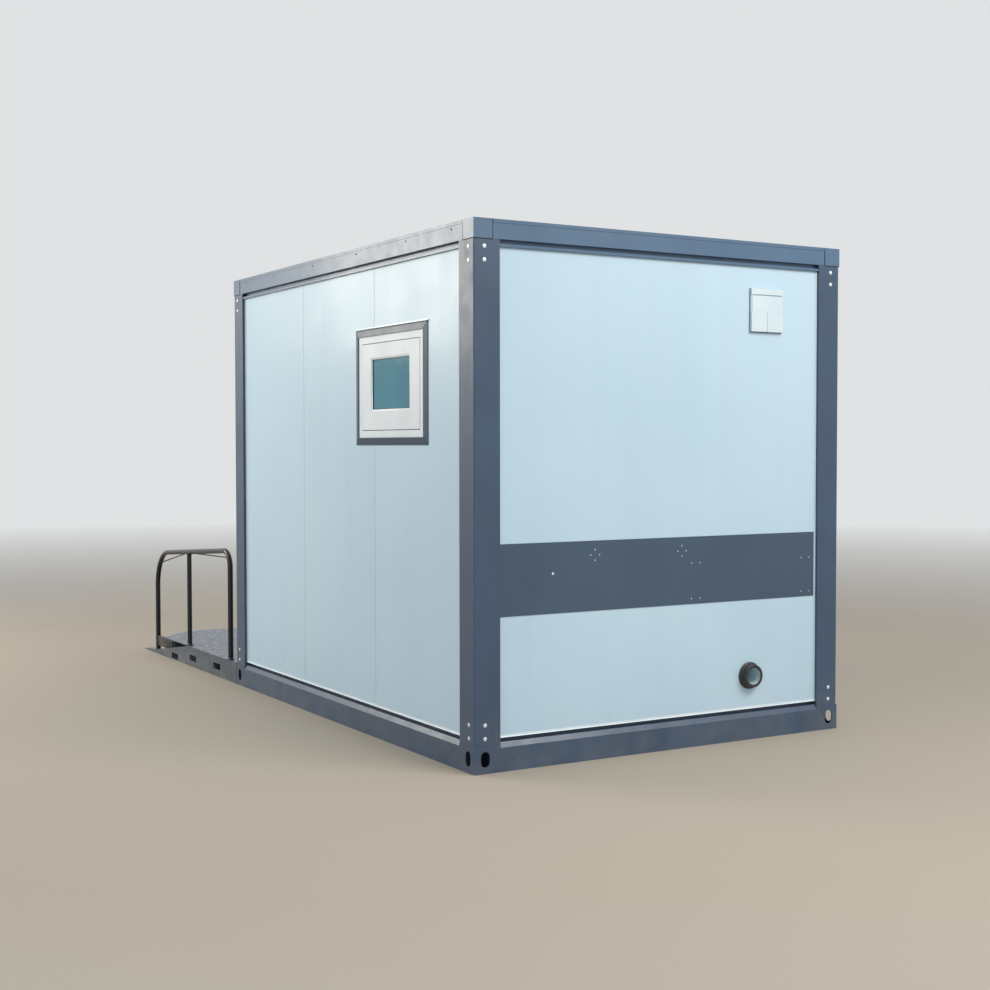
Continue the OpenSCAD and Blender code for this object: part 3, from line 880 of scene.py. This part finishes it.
@dataclass
class Walls:
    """Panel walls: their skins, drip edges, edge trims and the roof sheet."""

    shop: Workshop
    drip_h: float = 0.013
    drip_out: float = 0.004
    trim_w: float = 0.006
    trim_out: float = 0.0015
    rib_pitch: float = 0.25
    rib_h: float = 0.012

    def paint(self) -> None:
        """Dress the walls' CAD nodes."""
        for name, key in (("right_wall_rear", "side_skin"), ("right_wall_middle", "side_skin"),
                          ("right_wall_front", "side_skin"), ("left_wall", "side_skin"),
                          ("rear_wall", "end_skin"), ("front_wall_sides", "end_skin"),
                          ("front_wall_over_door", "end_skin"), ("rear_band", "band"),
                          ("roof_panel", "roof_skin"), ("floor_board", "floor")):
            self.shop.finishes.dress(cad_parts[name], key)

    def drip_outline(self, face: float, sign: int, z: float) -> Outline:
        """Draw a drip edge: a thin flat leg that kicks out at its foot.

        Args:
            face: The wall's face.
            sign: Which way the wall faces.
            z: The wall's lower edge.

        Returns:
            The outline across the wall.
        """
        h, out, t = self.drip_h, self.drip_out, 0.0012
        return [(face - sign * 0.002, z), (face + sign * out, z), (face + sign * out, z + t),
                (face + sign * t, z + 0.35 * h), (face + sign * t, z + h), (face - sign * 0.002, z + h)]

    def side_trims(self) -> None:
        """Trim the lower and upright edges of the two long walls."""
        for hand in Hand:
            if hand is Hand.RIGHT:
                low = node_box("right_wall_front")[0]
                high = node_box("right_wall_rear")[1]
                face = high.x
            else:
                low, high = node_box("left_wall")
                face = low.x
            sign = hand.value
            drip = self.shop.outline(self.drip_outline(face, sign, low.z), Run.ALONG_Y, low.y, high.y)
            parts = [drip]
            for a, b in ((low.y, low.y + self.trim_w), (high.y - self.trim_w, high.y)):
                outer = face + sign * self.trim_out
                parts.append(self.shop.block((min(face - sign * 0.002, outer), a, low.z + self.drip_h),
                                             (max(face - sign * 0.002, outer), b, high.z), 0.0005))
            self.shop.hand_over(self.shop.join(parts), f"wall_edge_trim_{hand.name.lower()}",
                                "drip", "wall_skin")

    def end_trims(self) -> None:
        """Trim the lower and upright edges of the rear wall and of the front wall beside the door."""
        low, high = node_box("rear_wall")
        self.end_trim("wall_edge_trim_rear", low.x, high.x, high.y, 1, low.z, high.z)
        low, high = node_box("front_wall_sides")
        door_low, door_high = node_box("door_frame")
        self.end_trim("wall_edge_trim_front_left", low.x, door_low.x, low.y, -1, low.z, high.z)
        self.end_trim("wall_edge_trim_front_right", door_high.x, high.x, low.y, -1, low.z, high.z)

    def end_trim(self, name: str, x0: float, x1: float, face: float, sign: int, z0: float,
                 z1: float) -> None:
        """Trim one stretch of an end wall.

        Args:
            name: The trim's name.
            x0: The stretch's left edge.
            x1: Its right edge.
            face: The wall's face.
            sign: Which way the wall faces.
            z0: The wall's lower edge.
            z1: The wall's upper edge.
        """
        parts = [self.shop.outline(self.drip_outline(face, sign, z0), Run.ALONG_X, x0, x1)]
        outer = face + sign * self.trim_out
        inner = face - sign * 0.002
        for a, b in ((x0, x0 + self.trim_w), (x1 - self.trim_w, x1)):
            parts.append(self.shop.block((a, min(inner, outer), z0 + self.drip_h),
                                         (b, max(inner, outer), z1), 0.0005))
        self.shop.hand_over(self.shop.join(parts), name, "drip", "wall_skin")

    def roof_sheet(self) -> None:
        """Model the roof's outer sheet with low stiffening ribs across it."""
        low, high = node_box("roof_panel")
        z, t = high.z, 0.001
        count = int((high.y - low.y) / self.rib_pitch)
        step = (high.y - low.y) / count
        top: Outline = []
        for i in range(count):
            y = low.y + i * step
            top += [(y + 0.40 * step, z + t), (y + 0.46 * step, z + self.rib_h),
                    (y + 0.54 * step, z + self.rib_h), (y + 0.60 * step, z + t)]
        outline = [(low.y, z - t), (high.y, z - t), (high.y, z + t), *reversed(top), (low.y, z + t)]
        sheet = self.shop.outline(outline, Run.ALONG_X, low.x, high.x)
        self.shop.hand_over(sheet, "roof_sheet", "roof_skin", "roof_skin")

    def band_fixings(self) -> None:
        """Model the small screw in the dark band, whose cap is red on the cabin; it is given the white
        finish.
        """
        high = node_box("rear_band")[1]
        rings = [(0.007, -0.001), (0.007, 0.001), (0.0055, 0.0028), (0.002, 0.0034)]
        screw = self.shop.copies(self.shop.turned(rings, steps=16), [(0.744, high.y, 0.997)],
                                 (0, 1, 0))
        self.shop.hand_over(screw, "band_screw", "white", "band_paint")

    def build(self) -> None:
        """Build and dress the walls."""
        self.paint()
        self.side_trims()
        self.end_trims()
        self.roof_sheet()
        self.band_fixings()


@dataclass
class Window:
    """The tilting window: surround, frame, sash, glazing and their seals."""

    shop: Workshop
    flash_h: float = 0.010
    bead_w: float = 0.011
    seal_r: float = 0.0022

    def paint(self) -> None:
        """Dress the window's CAD nodes."""
        for name, key in (("window_surround", "trim"), ("window_frame", "white"),
                          ("window_sash", "white"), ("window_glass", "glass")):
            self.shop.finishes.dress(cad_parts[name], key)

    def ring(self, x0: float, x1: float, low: Vector, high: Vector, width: float) -> bpy.types.Object:
        """Model a rectangular ring that slopes from its outer edge down to its inner edge.

        Args:
            x0: Depth of the outer edge.
            x1: Depth of the inner edge.
            low: Lowest corner of the outer edge, of which Y and Z count.
            high: Highest corner of the outer edge.
            width: The ring's width.

        Returns:
            The ring.
        """
        self.shop.clear()
        bpy.ops.mesh.primitive_plane_add(size=1, location=(0, 0, 0), rotation=(0, math.pi / 2, 0))
        obj = bpy.context.object
        obj.scale = (high.z - low.z, high.y - low.y, 1)
        obj.location = (x0, (low.y + high.y) / 2, (low.z + high.z) / 2)
        self.shop.apply(obj)
        bpy.ops.object.mode_set(mode="EDIT")
        bpy.ops.mesh.select_all(action="SELECT")
        bpy.ops.mesh.inset(thickness=width)
        bpy.ops.transform.translate(value=(x1 - x0, 0, 0))
        bpy.ops.mesh.delete(type="ONLY_FACE")
        bpy.ops.object.mode_set(mode="OBJECT")
        solid = obj.modifiers.new("Wall", "SOLIDIFY")
        solid.thickness = 0.002
        bpy.ops.object.modifier_apply(modifier=solid.name)
        self.shop.tidy_normals(obj)
        return obj

    def glazing(self) -> None:
        """Model the glazing bead and the black seal round the glass."""
        pane_low, pane_high = node_box("window_glass")
        rebate = 0.0115
        low = Vector((0, pane_low.y + rebate, pane_low.z + rebate))
        high = Vector((0, pane_high.y - rebate, pane_high.z - rebate))
        face = node_box("window_sash")[1].x
        bead = self.ring(face - 0.0012, pane_high.x + 0.0032, low, high, self.bead_w)
        self.shop.hand_over(bead, "window_glazing_bead", "white", "white_plastic")
        b = self.bead_w
        r = self.seal_r
        corners = [(low.y + b, low.z + b), (high.y - b, low.z + b), (high.y - b, high.z - b),
                   (low.y + b, high.z - b)]
        seal = self.shop.tube([(pane_high.x + r, y, z) for y, z in corners], r, closed=True,
                              sides=2)
        self.shop.hand_over(seal, "window_glass_seal", "gasket", "black_plastic")

    def flashing(self) -> None:
        """Model the light flashing over the surround."""
        low, high = node_box("window_surround")
        x = node_box("right_wall_rear")[1].x
        z = high.z
        outline = [(x - 0.001, z + self.flash_h), (x + 0.0015, z + self.flash_h), (x + 0.003, z + 0.004),
                   (x + 0.013, z + 0.0018), (x + 0.013, z + 0.0004), (x - 0.001, z + 0.0004)]
        cap = self.shop.outline(outline, Run.ALONG_Y, low.y - 0.004, high.y + 0.004)
        self.shop.hand_over(cap, "window_head_flashing", "drip", "trim_paint")

    def mitres(self) -> None:
        """Model the fine mitre joints at the surround's four corners."""
        low, high = node_box("window_surround")
        x = node_box("right_wall_rear")[1].x
        parts = []
        for y0, y1 in ((low.y, low.y + 0.042), (high.y, high.y - 0.042)):
            for z0, z1 in ((low.z, low.z + 0.042), (high.z, high.z - 0.042)):
                parts.append(self.shop.tube([(x + 0.0042, y0, z0), (x + 0.0112, y0 + (y1 - y0) * 0.9,
                                            z0 + (z1 - z0) * 0.9), (x + 0.0112, y1, z1)], 0.0007,
                                            sides=1))
        self.shop.hand_over(self.shop.join(parts), "window_surround_mitres", "gasket", "trim_paint")

    def build(self) -> None:
        """Build and dress the window."""
        self.paint()
        self.glazing()
        self.flashing()
        self.mitres()


@dataclass
class RearFittings:
    """The vent cover and the waste outlet."""

    shop: Workshop
    screw_r: float = 0.0035

    def screw(self) -> bpy.types.Object:
        """Model one pan-head screw with a recess."""
        r = self.screw_r
        return self.shop.turned([(r, -0.001), (r, r * 0.25), (r * 0.8, r * 0.5), (r * 0.35, r * 0.55),
                                 (r * 0.3, r * 0.2)], steps=12)

    def vent(self) -> None:
        """Dress the vent cover and add its corner screws, and a dark rim behind it that paints the shadow
        round the cover's edge.
        """
        self.shop.finishes.dress(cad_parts["vent_cover"], "vent")
        low, high = node_box("vent_cover")
        places = [(x, high.y - 0.0004, z) for x in (low.x + 0.012, high.x - 0.012)
                  for z in (low.z + 0.014, high.z - 0.014)]
        self.shop.hand_over(self.shop.copies(self.screw(), places, (0, 1, 0)), "vent_screws",
                            "zinc", "white_plastic")
        # Painted shadow: a dark gasket block a little larger than the cover sits behind it and stands for
        # its shadow on the wall.
        seal = self.shop.block((low.x - 0.002, low.y - 0.001, low.z - 0.003),
                               (high.x + 0.002, low.y + 0.003, high.z + 0.002), 0.0008)
        self.shop.hand_over(seal, "vent_seal", "gasket", "black_plastic")

    def outlet(self) -> None:
        """Model the rubber boot of the waste outlet and dress its pipe."""
        low, high = node_box("outlet_collar")
        cx, cz = (low.x + high.x) / 2, (low.z + high.z) / 2
        flange, depth = (high.x - low.x) / 2, high.y - low.y
        bore = 0.0553
        lip = flange - 0.013
        rings = [(bore, 0.0), (flange - 0.001, 0.0), (flange, 0.001), (flange, 0.006),
                 (flange - 0.0015, 0.0078), (flange - 0.005, 0.0088), (flange - 0.0085, 0.013),
                 (lip - 0.001, depth - 0.016), (lip - 0.001, depth - 0.013), (lip + 0.001, depth - 0.011),
                 (lip + 0.001, depth - 0.003), (lip - 0.001, depth - 0.0006), (lip - 0.003, depth),
                 (0.050, depth), (0.0478, depth - 0.0012), (0.0472, depth - 0.0030),
                 (0.0490, depth - 0.0048), (bore, depth - 0.0052)]
        boot = self.shop.turned(rings, hollow=True, steps=64)
        self.shop.aim(boot, (0, 1, 0), (cx, low.y, cz))
        self.shop.hand_over(boot, "outlet_boot", "rubber", "outlet_rubber", ("outlet_collar",))
        self.shop.finishes.dress(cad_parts["outlet_pipe"], "pipe")

    def build(self) -> None:
        """Build and dress the rear fittings."""
        self.vent()
        self.outlet()


@dataclass
class Door:
    """The closed entrance door: leaf, frame, handle, seal and lock."""

    shop: Workshop
    seal_r: float = 0.003

    def build(self) -> None:
        """Dress the door's CAD nodes and add its seal, lock and threshold."""
        for name, key in (("door_frame", "frame"), ("door_leaf", "door"), ("door_handle", "lock")):
            self.shop.finishes.dress(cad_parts[name], key)
        low, high = node_box("door_leaf")
        frame_low, frame_high = node_box("door_frame")
        half = 0.4515
        face = low.y + 0.007
        top = low.z + 2.0015
        loop = [(-half, face, low.z), (half, face, low.z), (half, face, top), (-half, face, top)]
        seal = self.shop.tube(loop, self.seal_r, closed=True, sides=2)
        self.shop.hand_over(seal, "door_seal", "gasket", "black_plastic")
        handle_low, handle_high = node_box("door_handle")
        x = handle_high.x - 0.02
        y = handle_high.y - 0.006
        lock = self.shop.turned([(0.014, -0.001), (0.014, 0.004), (0.0125, 0.006), (0.010, 0.0065),
                                 (0.0095, 0.0055), (0.002, 0.0055)], steps=24)
        self.shop.aim(lock, (0, -1, 0), (x, y, handle_low.z + 0.045))
        self.shop.hand_over(lock, "door_lock_cylinder", "zinc", "black_plastic")
        sill = self.shop.outline([(frame_low.y, 0.1722), (frame_low.y - 0.012, 0.1722),
                                  (frame_low.y - 0.012, 0.1745), (frame_low.y, 0.1778),
                                  (frame_low.y + 0.030, 0.1745), (frame_low.y + 0.030, 0.1722)],
                                 Run.ALONG_X, frame_low.x + 0.045, frame_high.x - 0.045)
        self.shop.hand_over(sill, "door_sill_strip", "zinc", "frame_paint")


@dataclass
class Platform:
    """The entrance platform: deck, cheeks, beams, screws and handrails."""

    shop: Workshop
    tube_r: float = 0.019
    rod_r: float = 0.005
    post_first: float = 0.190
    post_middle: float = 1.070
    post_last: float = 1.840
    rail_z: float = 0.912
    fall: float = math.radians(4)
    bend_inner: float = 0.110
    bend_outer: float = 0.280
    bend_steps: int = 12

    def paint(self) -> None:
        """Dress the platform's CAD nodes."""
        for name, key in (("deck_panel", "deck"), ("deck_strips", "deck"), ("deck_beams", "cheek"),
                          ("cheek_right", "cheek"), ("cheek_left", "cheek")):
            self.shop.finishes.dress(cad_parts[name], key)

    def rail_line(self, y: float) -> float:
        """Return the height of the sloping rail at a distance from the cabin."""
        return self.rail_z - (y - self.post_first - self.bend_inner) * math.tan(self.fall)

    def arc(self, centre: tuple[float, float], radius: float, start: float,
            end: float) -> list[tuple[float, float]]:
        """Return points on a bend, as distance from the cabin and height.

        Args:
            centre: The bend's centre.
            radius: Its radius.
            start: Its first angle from the outward direction, in radians.
            end: Its last angle.

        Returns:
            The points, ends included.
        """
        angles = [start + (end - start) * i / self.bend_steps for i in range(self.bend_steps + 1)]
        return [(centre[0] + radius * math.cos(a), centre[1] + radius * math.sin(a)) for a in angles]

    def handrail(self, hand: Hand) -> None:
        """Model one welded handrail: bent tube, middle post, rods, arm, flanges and their bolts.

        Args:
            hand: The side of the platform.
        """
        node = f"handrail_{hand.name.lower()}"
        low, high = node_box(node)
        deck = node_box("deck_panel")[1].z
        front = node_box("base_corner_front_right")[0].y
        foot = low.z
        flange_r = 0.028
        x = high.x - flange_r if hand is Hand.RIGHT else low.x + flange_r
        a, r1, r2 = self.fall, self.bend_inner, self.bend_outer
        drop = math.cos(a) + math.sin(a) * math.tan(a)
        c1 = (self.post_first + r1, self.rail_z - r1 * drop)
        at2 = self.post_last - r2
        c2 = (at2, self.rail_line(at2) - r2 * drop)
        up = math.pi / 2 - a
        path = [(self.post_first, deck), *self.arc(c1, r1, math.pi, up), *self.arc(c2, r2, up, 0.0),
                (self.post_last, foot)]

        def placed(points: list[tuple[float, float]]) -> list[Point]:
            """Carry points from distance and height into the cabin's frame."""
            return [(x, front - y, z) for y, z in points]

        middle = self.rail_line(self.post_middle)
        parts = [self.shop.tube(placed(path), self.tube_r, sides=8),
                 self.shop.tube(placed([(self.post_middle, deck), (self.post_middle, middle - 0.004)]),
                                self.tube_r - 0.0015, sides=8)]
        end = self.arc(c2, r2 - 0.004, math.radians(42), 0.0)[0]
        parts.append(self.shop.tube(placed([(self.post_first + 0.025, self.rail_z - 0.044),
                                            (self.post_middle, middle - 0.008)]), self.rod_r, sides=3))
        parts.append(self.shop.tube(placed([(self.post_middle, middle - 0.004), end]), self.rod_r,
                                    sides=3))
        weld = [(self.tube_r - 0.001, -0.004), (self.tube_r + 0.0025, -0.002),
                (self.tube_r + 0.0028, 0.001), (self.tube_r - 0.001, 0.005)]
        parts.append(self.shop.copies(self.shop.turned(weld, steps=28),
                                      placed([(self.post_middle, middle - self.tube_r - 0.001)])))
        flange = [(flange_r, 0.0), (flange_r, 0.005), (flange_r - 0.001, 0.006),
                  (self.tube_r + 0.004, 0.006), (self.tube_r + 0.001, 0.010), (self.tube_r - 0.002, 0.011)]
        parts.append(self.shop.copies(self.shop.turned(flange, steps=36),
                                      placed([(self.post_first, deck), (self.post_middle, deck)])))
        foot_weld = [(self.tube_r + 0.004, -0.0005), (self.tube_r + 0.0015, 0.003),
                     (self.tube_r - 0.001, 0.005)]
        parts.append(self.shop.copies(self.shop.turned(foot_weld, steps=28),
                                      placed([(self.post_last, foot)])))
        beam_end = 1.440
        parts.append(self.shop.block((x - 0.015, front - self.post_last, 0.060),
                                     (x + 0.015, front - beam_end, deck - 0.006), 0.003))
        self.shop.hand_over(self.shop.join(parts), f"{node}_welded", "rail", "rail_paint", (node,))
        screw = [(0.0042, 0.0), (0.0042, 0.002), (0.0034, 0.0034), (0.0012, 0.0038)]
        spots = [(x + sx * 0.0235 * math.cos(q), front - y + 0.0235 * math.sin(q), deck + 0.0058)
                 for y in (self.post_first, self.post_middle)
                 for q in (math.radians(45), math.radians(-45)) for sx in (1, -1)]
        self.shop.hand_over(self.shop.copies(self.shop.turned(screw, steps=10), spots),
                            f"{node}_screws", "zinc", "rail_paint")

    def deck_screws(self) -> None:
        """Model the flat screws that hold the deck to its beams."""
        low, high = node_box("deck_panel")
        z = high.z
        head = [(0.008, -0.0004), (0.008, 0.0006), (0.0068, 0.0012), (0.003, 0.0013), (0.0026, 0.0006)]
        count = 5
        rows = [low.y + 0.03 + i * (high.y - low.y - 0.06) / (count - 1) for i in range(count)]
        xs = [low.x + 0.03, 0.0, high.x - 0.03]
        strip_high = node_box("deck_strips")[1].x
        xs += [strip_high - 0.12, -strip_high + 0.12]
        spots = [(x, y, z) for x in xs for y in rows
                 if abs(x) < high.x or y > rows[0] + 0.1]
        self.shop.hand_over(self.shop.copies(self.shop.turned(head, steps=12), spots),
                            "deck_screws", "zinc", "deck_steel")

    def build(self) -> None:
        """Build and dress the platform."""
        self.paint()
        for hand in Hand:
            self.handrail(hand)
        self.deck_screws()


# ------------------------------------------------------------------ studio


@dataclass
class Studio:
    """The plain pale floor, the soft light and the camera."""

    eye: Point = (4.8896, 9.1388, 1.6623)
    heading: float = -2.1034
    pitch: float = -0.0335
    roll: float = -0.0013
    lens: float = 53.78
    sensor: float = 36.0
    floor_half: float = 60.0
    sky: float = 0.80
    floor_colour: Colour = (172, 162, 147)
    fade_from: float = 5.0
    fade_to: float = 22.0
    backdrop: Colour = (224, 226, 227)

    def camera(self) -> None:
        """Create the camera."""
        data = bpy.data.cameras.new("camera")
        data.lens = self.lens
        data.sensor_width = self.sensor
        data.sensor_fit = "HORIZONTAL"
        obj = bpy.data.objects.new("camera", data)
        bpy.context.collection.objects.link(obj)
        ahead = Vector((math.cos(self.heading) * math.cos(self.pitch),
                        math.sin(self.heading) * math.cos(self.pitch), math.sin(self.pitch)))
        turn = ahead.to_track_quat("-Z", "Y").to_matrix().to_4x4()
        obj.matrix_world = (Matrix.Translation(self.eye) @ turn
                            @ Matrix.Rotation(self.roll, 4, "Z"))
        bpy.context.scene.camera = obj

    def floor(self) -> None:
        """Lay the floor."""
        Workshop.clear()
        bpy.ops.mesh.primitive_plane_add(size=2 * self.floor_half, location=(0, 0, 0))
        obj = bpy.context.object
        obj.name = "studio_floor"
        bench = NodeTable("studio_floor_paint")
        bench.set(Base_Color=linear(self.floor_colour), Roughness=0.9)
        bench.set(**{"Specular_IOR_Level": 0.2})
        away = bench.nodes.new("ShaderNodeVectorMath")
        away.operation = "LENGTH"
        bench.links.new(bench.place, away.inputs[0])
        fade = bench.span(away.outputs["Value"], self.fade_from, self.fade_to)
        path = bench.nodes.new("ShaderNodeLightPath")
        seen = bench.math("MAXIMUM", path.outputs["Is Camera Ray"], path.outputs["Is Glossy Ray"])
        glow = bench.nodes.new("ShaderNodeEmission")
        glow.inputs["Color"].default_value = linear(self.backdrop)
        blend = bench.nodes.new("ShaderNodeMixShader")
        bench.links.new(bench.math("MULTIPLY", fade, seen), blend.inputs[0])
        bench.links.new(bench.shader.outputs[0], blend.inputs[1])
        bench.links.new(glow.outputs[0], blend.inputs[2])
        bench.links.new(blend.outputs[0], bench.nodes["Material Output"].inputs["Surface"])
        obj.data.materials.append(bench.material)

    def world(self) -> None:
        """Light the object evenly and show a pale backdrop behind it."""
        world = bpy.data.worlds.new("studio_world")
        bpy.context.scene.world = world
        world.use_nodes = True
        nodes, links = world.node_tree.nodes, world.node_tree.links
        nodes.clear()
        path = nodes.new("ShaderNodeLightPath")
        seen = nodes.new("ShaderNodeMath")
        seen.operation = "MAXIMUM"
        links.new(path.outputs["Is Camera Ray"], seen.inputs[0])
        through = nodes.new("ShaderNodeMath")
        through.operation = "MAXIMUM"
        links.new(path.outputs["Is Glossy Ray"], through.inputs[0])
        links.new(path.outputs["Is Transmission Ray"], through.inputs[1])
        links.new(through.outputs[0], seen.inputs[1])
        light = nodes.new("ShaderNodeBackground")
        light.inputs["Color"].default_value = linear((236, 243, 252))
        light.inputs["Strength"].default_value = self.sky
        shown = nodes.new("ShaderNodeBackground")
        shown.inputs["Color"].default_value = linear(self.backdrop)
        shown.inputs["Strength"].default_value = 1.0
        blend = nodes.new("ShaderNodeMixShader")
        links.new(seen.outputs[0], blend.inputs[0])
        links.new(light.outputs[0], blend.inputs[1])
        links.new(shown.outputs[0], blend.inputs[2])
        out = nodes.new("ShaderNodeOutputWorld")
        links.new(blend.outputs[0], out.inputs["Surface"])

    def softbox(self, name: str, place: Point, target: Point, size: tuple[float, float],
                watts: float, colour: Colour) -> None:
        """Hang one soft lamp.

        Args:
            name: The lamp's name.
            place: Where it hangs.
            target: The point that it faces.
            size: Its width and height.
            watts: Its power.
            colour: Its colour.
        """
        data = bpy.data.lights.new(name, "AREA")
        data.shape = "RECTANGLE"
        data.size, data.size_y = size
        data.energy = watts
        data.color = linear(colour)[:3]
        obj = bpy.data.objects.new(name, data)
        bpy.context.collection.objects.link(obj)
        obj.matrix_world = (Matrix.Translation(place)
                            @ (Vector(target) - Vector(place)).to_track_quat("-Z", "Y")
                            .to_matrix().to_4x4())
        obj.visible_camera = False

    def lamps(self) -> None:
        """Hang the lamps."""
        self.softbox("lamp_window_side", (6.2, -4.6, 4.7), (1.2, 1.2, 2.2), (5.0, 4.0), 370,
                     (255, 249, 236))
        self.softbox("lamp_rear", (-1.8, 7.6, 6.4), (0.0, 2.7, 2.3), (5.0, 3.0), 400,
                     (255, 250, 243))

    def build(self) -> None:
        """Build the studio."""
        self.camera()
        self.floor()
        self.world()
        self.lamps()
        bpy.context.scene.view_settings.view_transform = "Standard"


def main() -> None:
    """Build every sub-assembly in order."""
    finishes = Finishes()
    finishes.build()
    shop = Workshop(finishes)
    for assembly in (SteelFrame(shop), Walls(shop), Window(shop), RearFittings(shop), Door(shop),
                     Platform(shop)):
        assembly.build()
        log.info("%s is built", type(assembly).__name__)
    Studio().build()
    Workshop.clear()
    log.info("%d pieces added", len(shop.made))


if __name__ == "__main__":
    main()
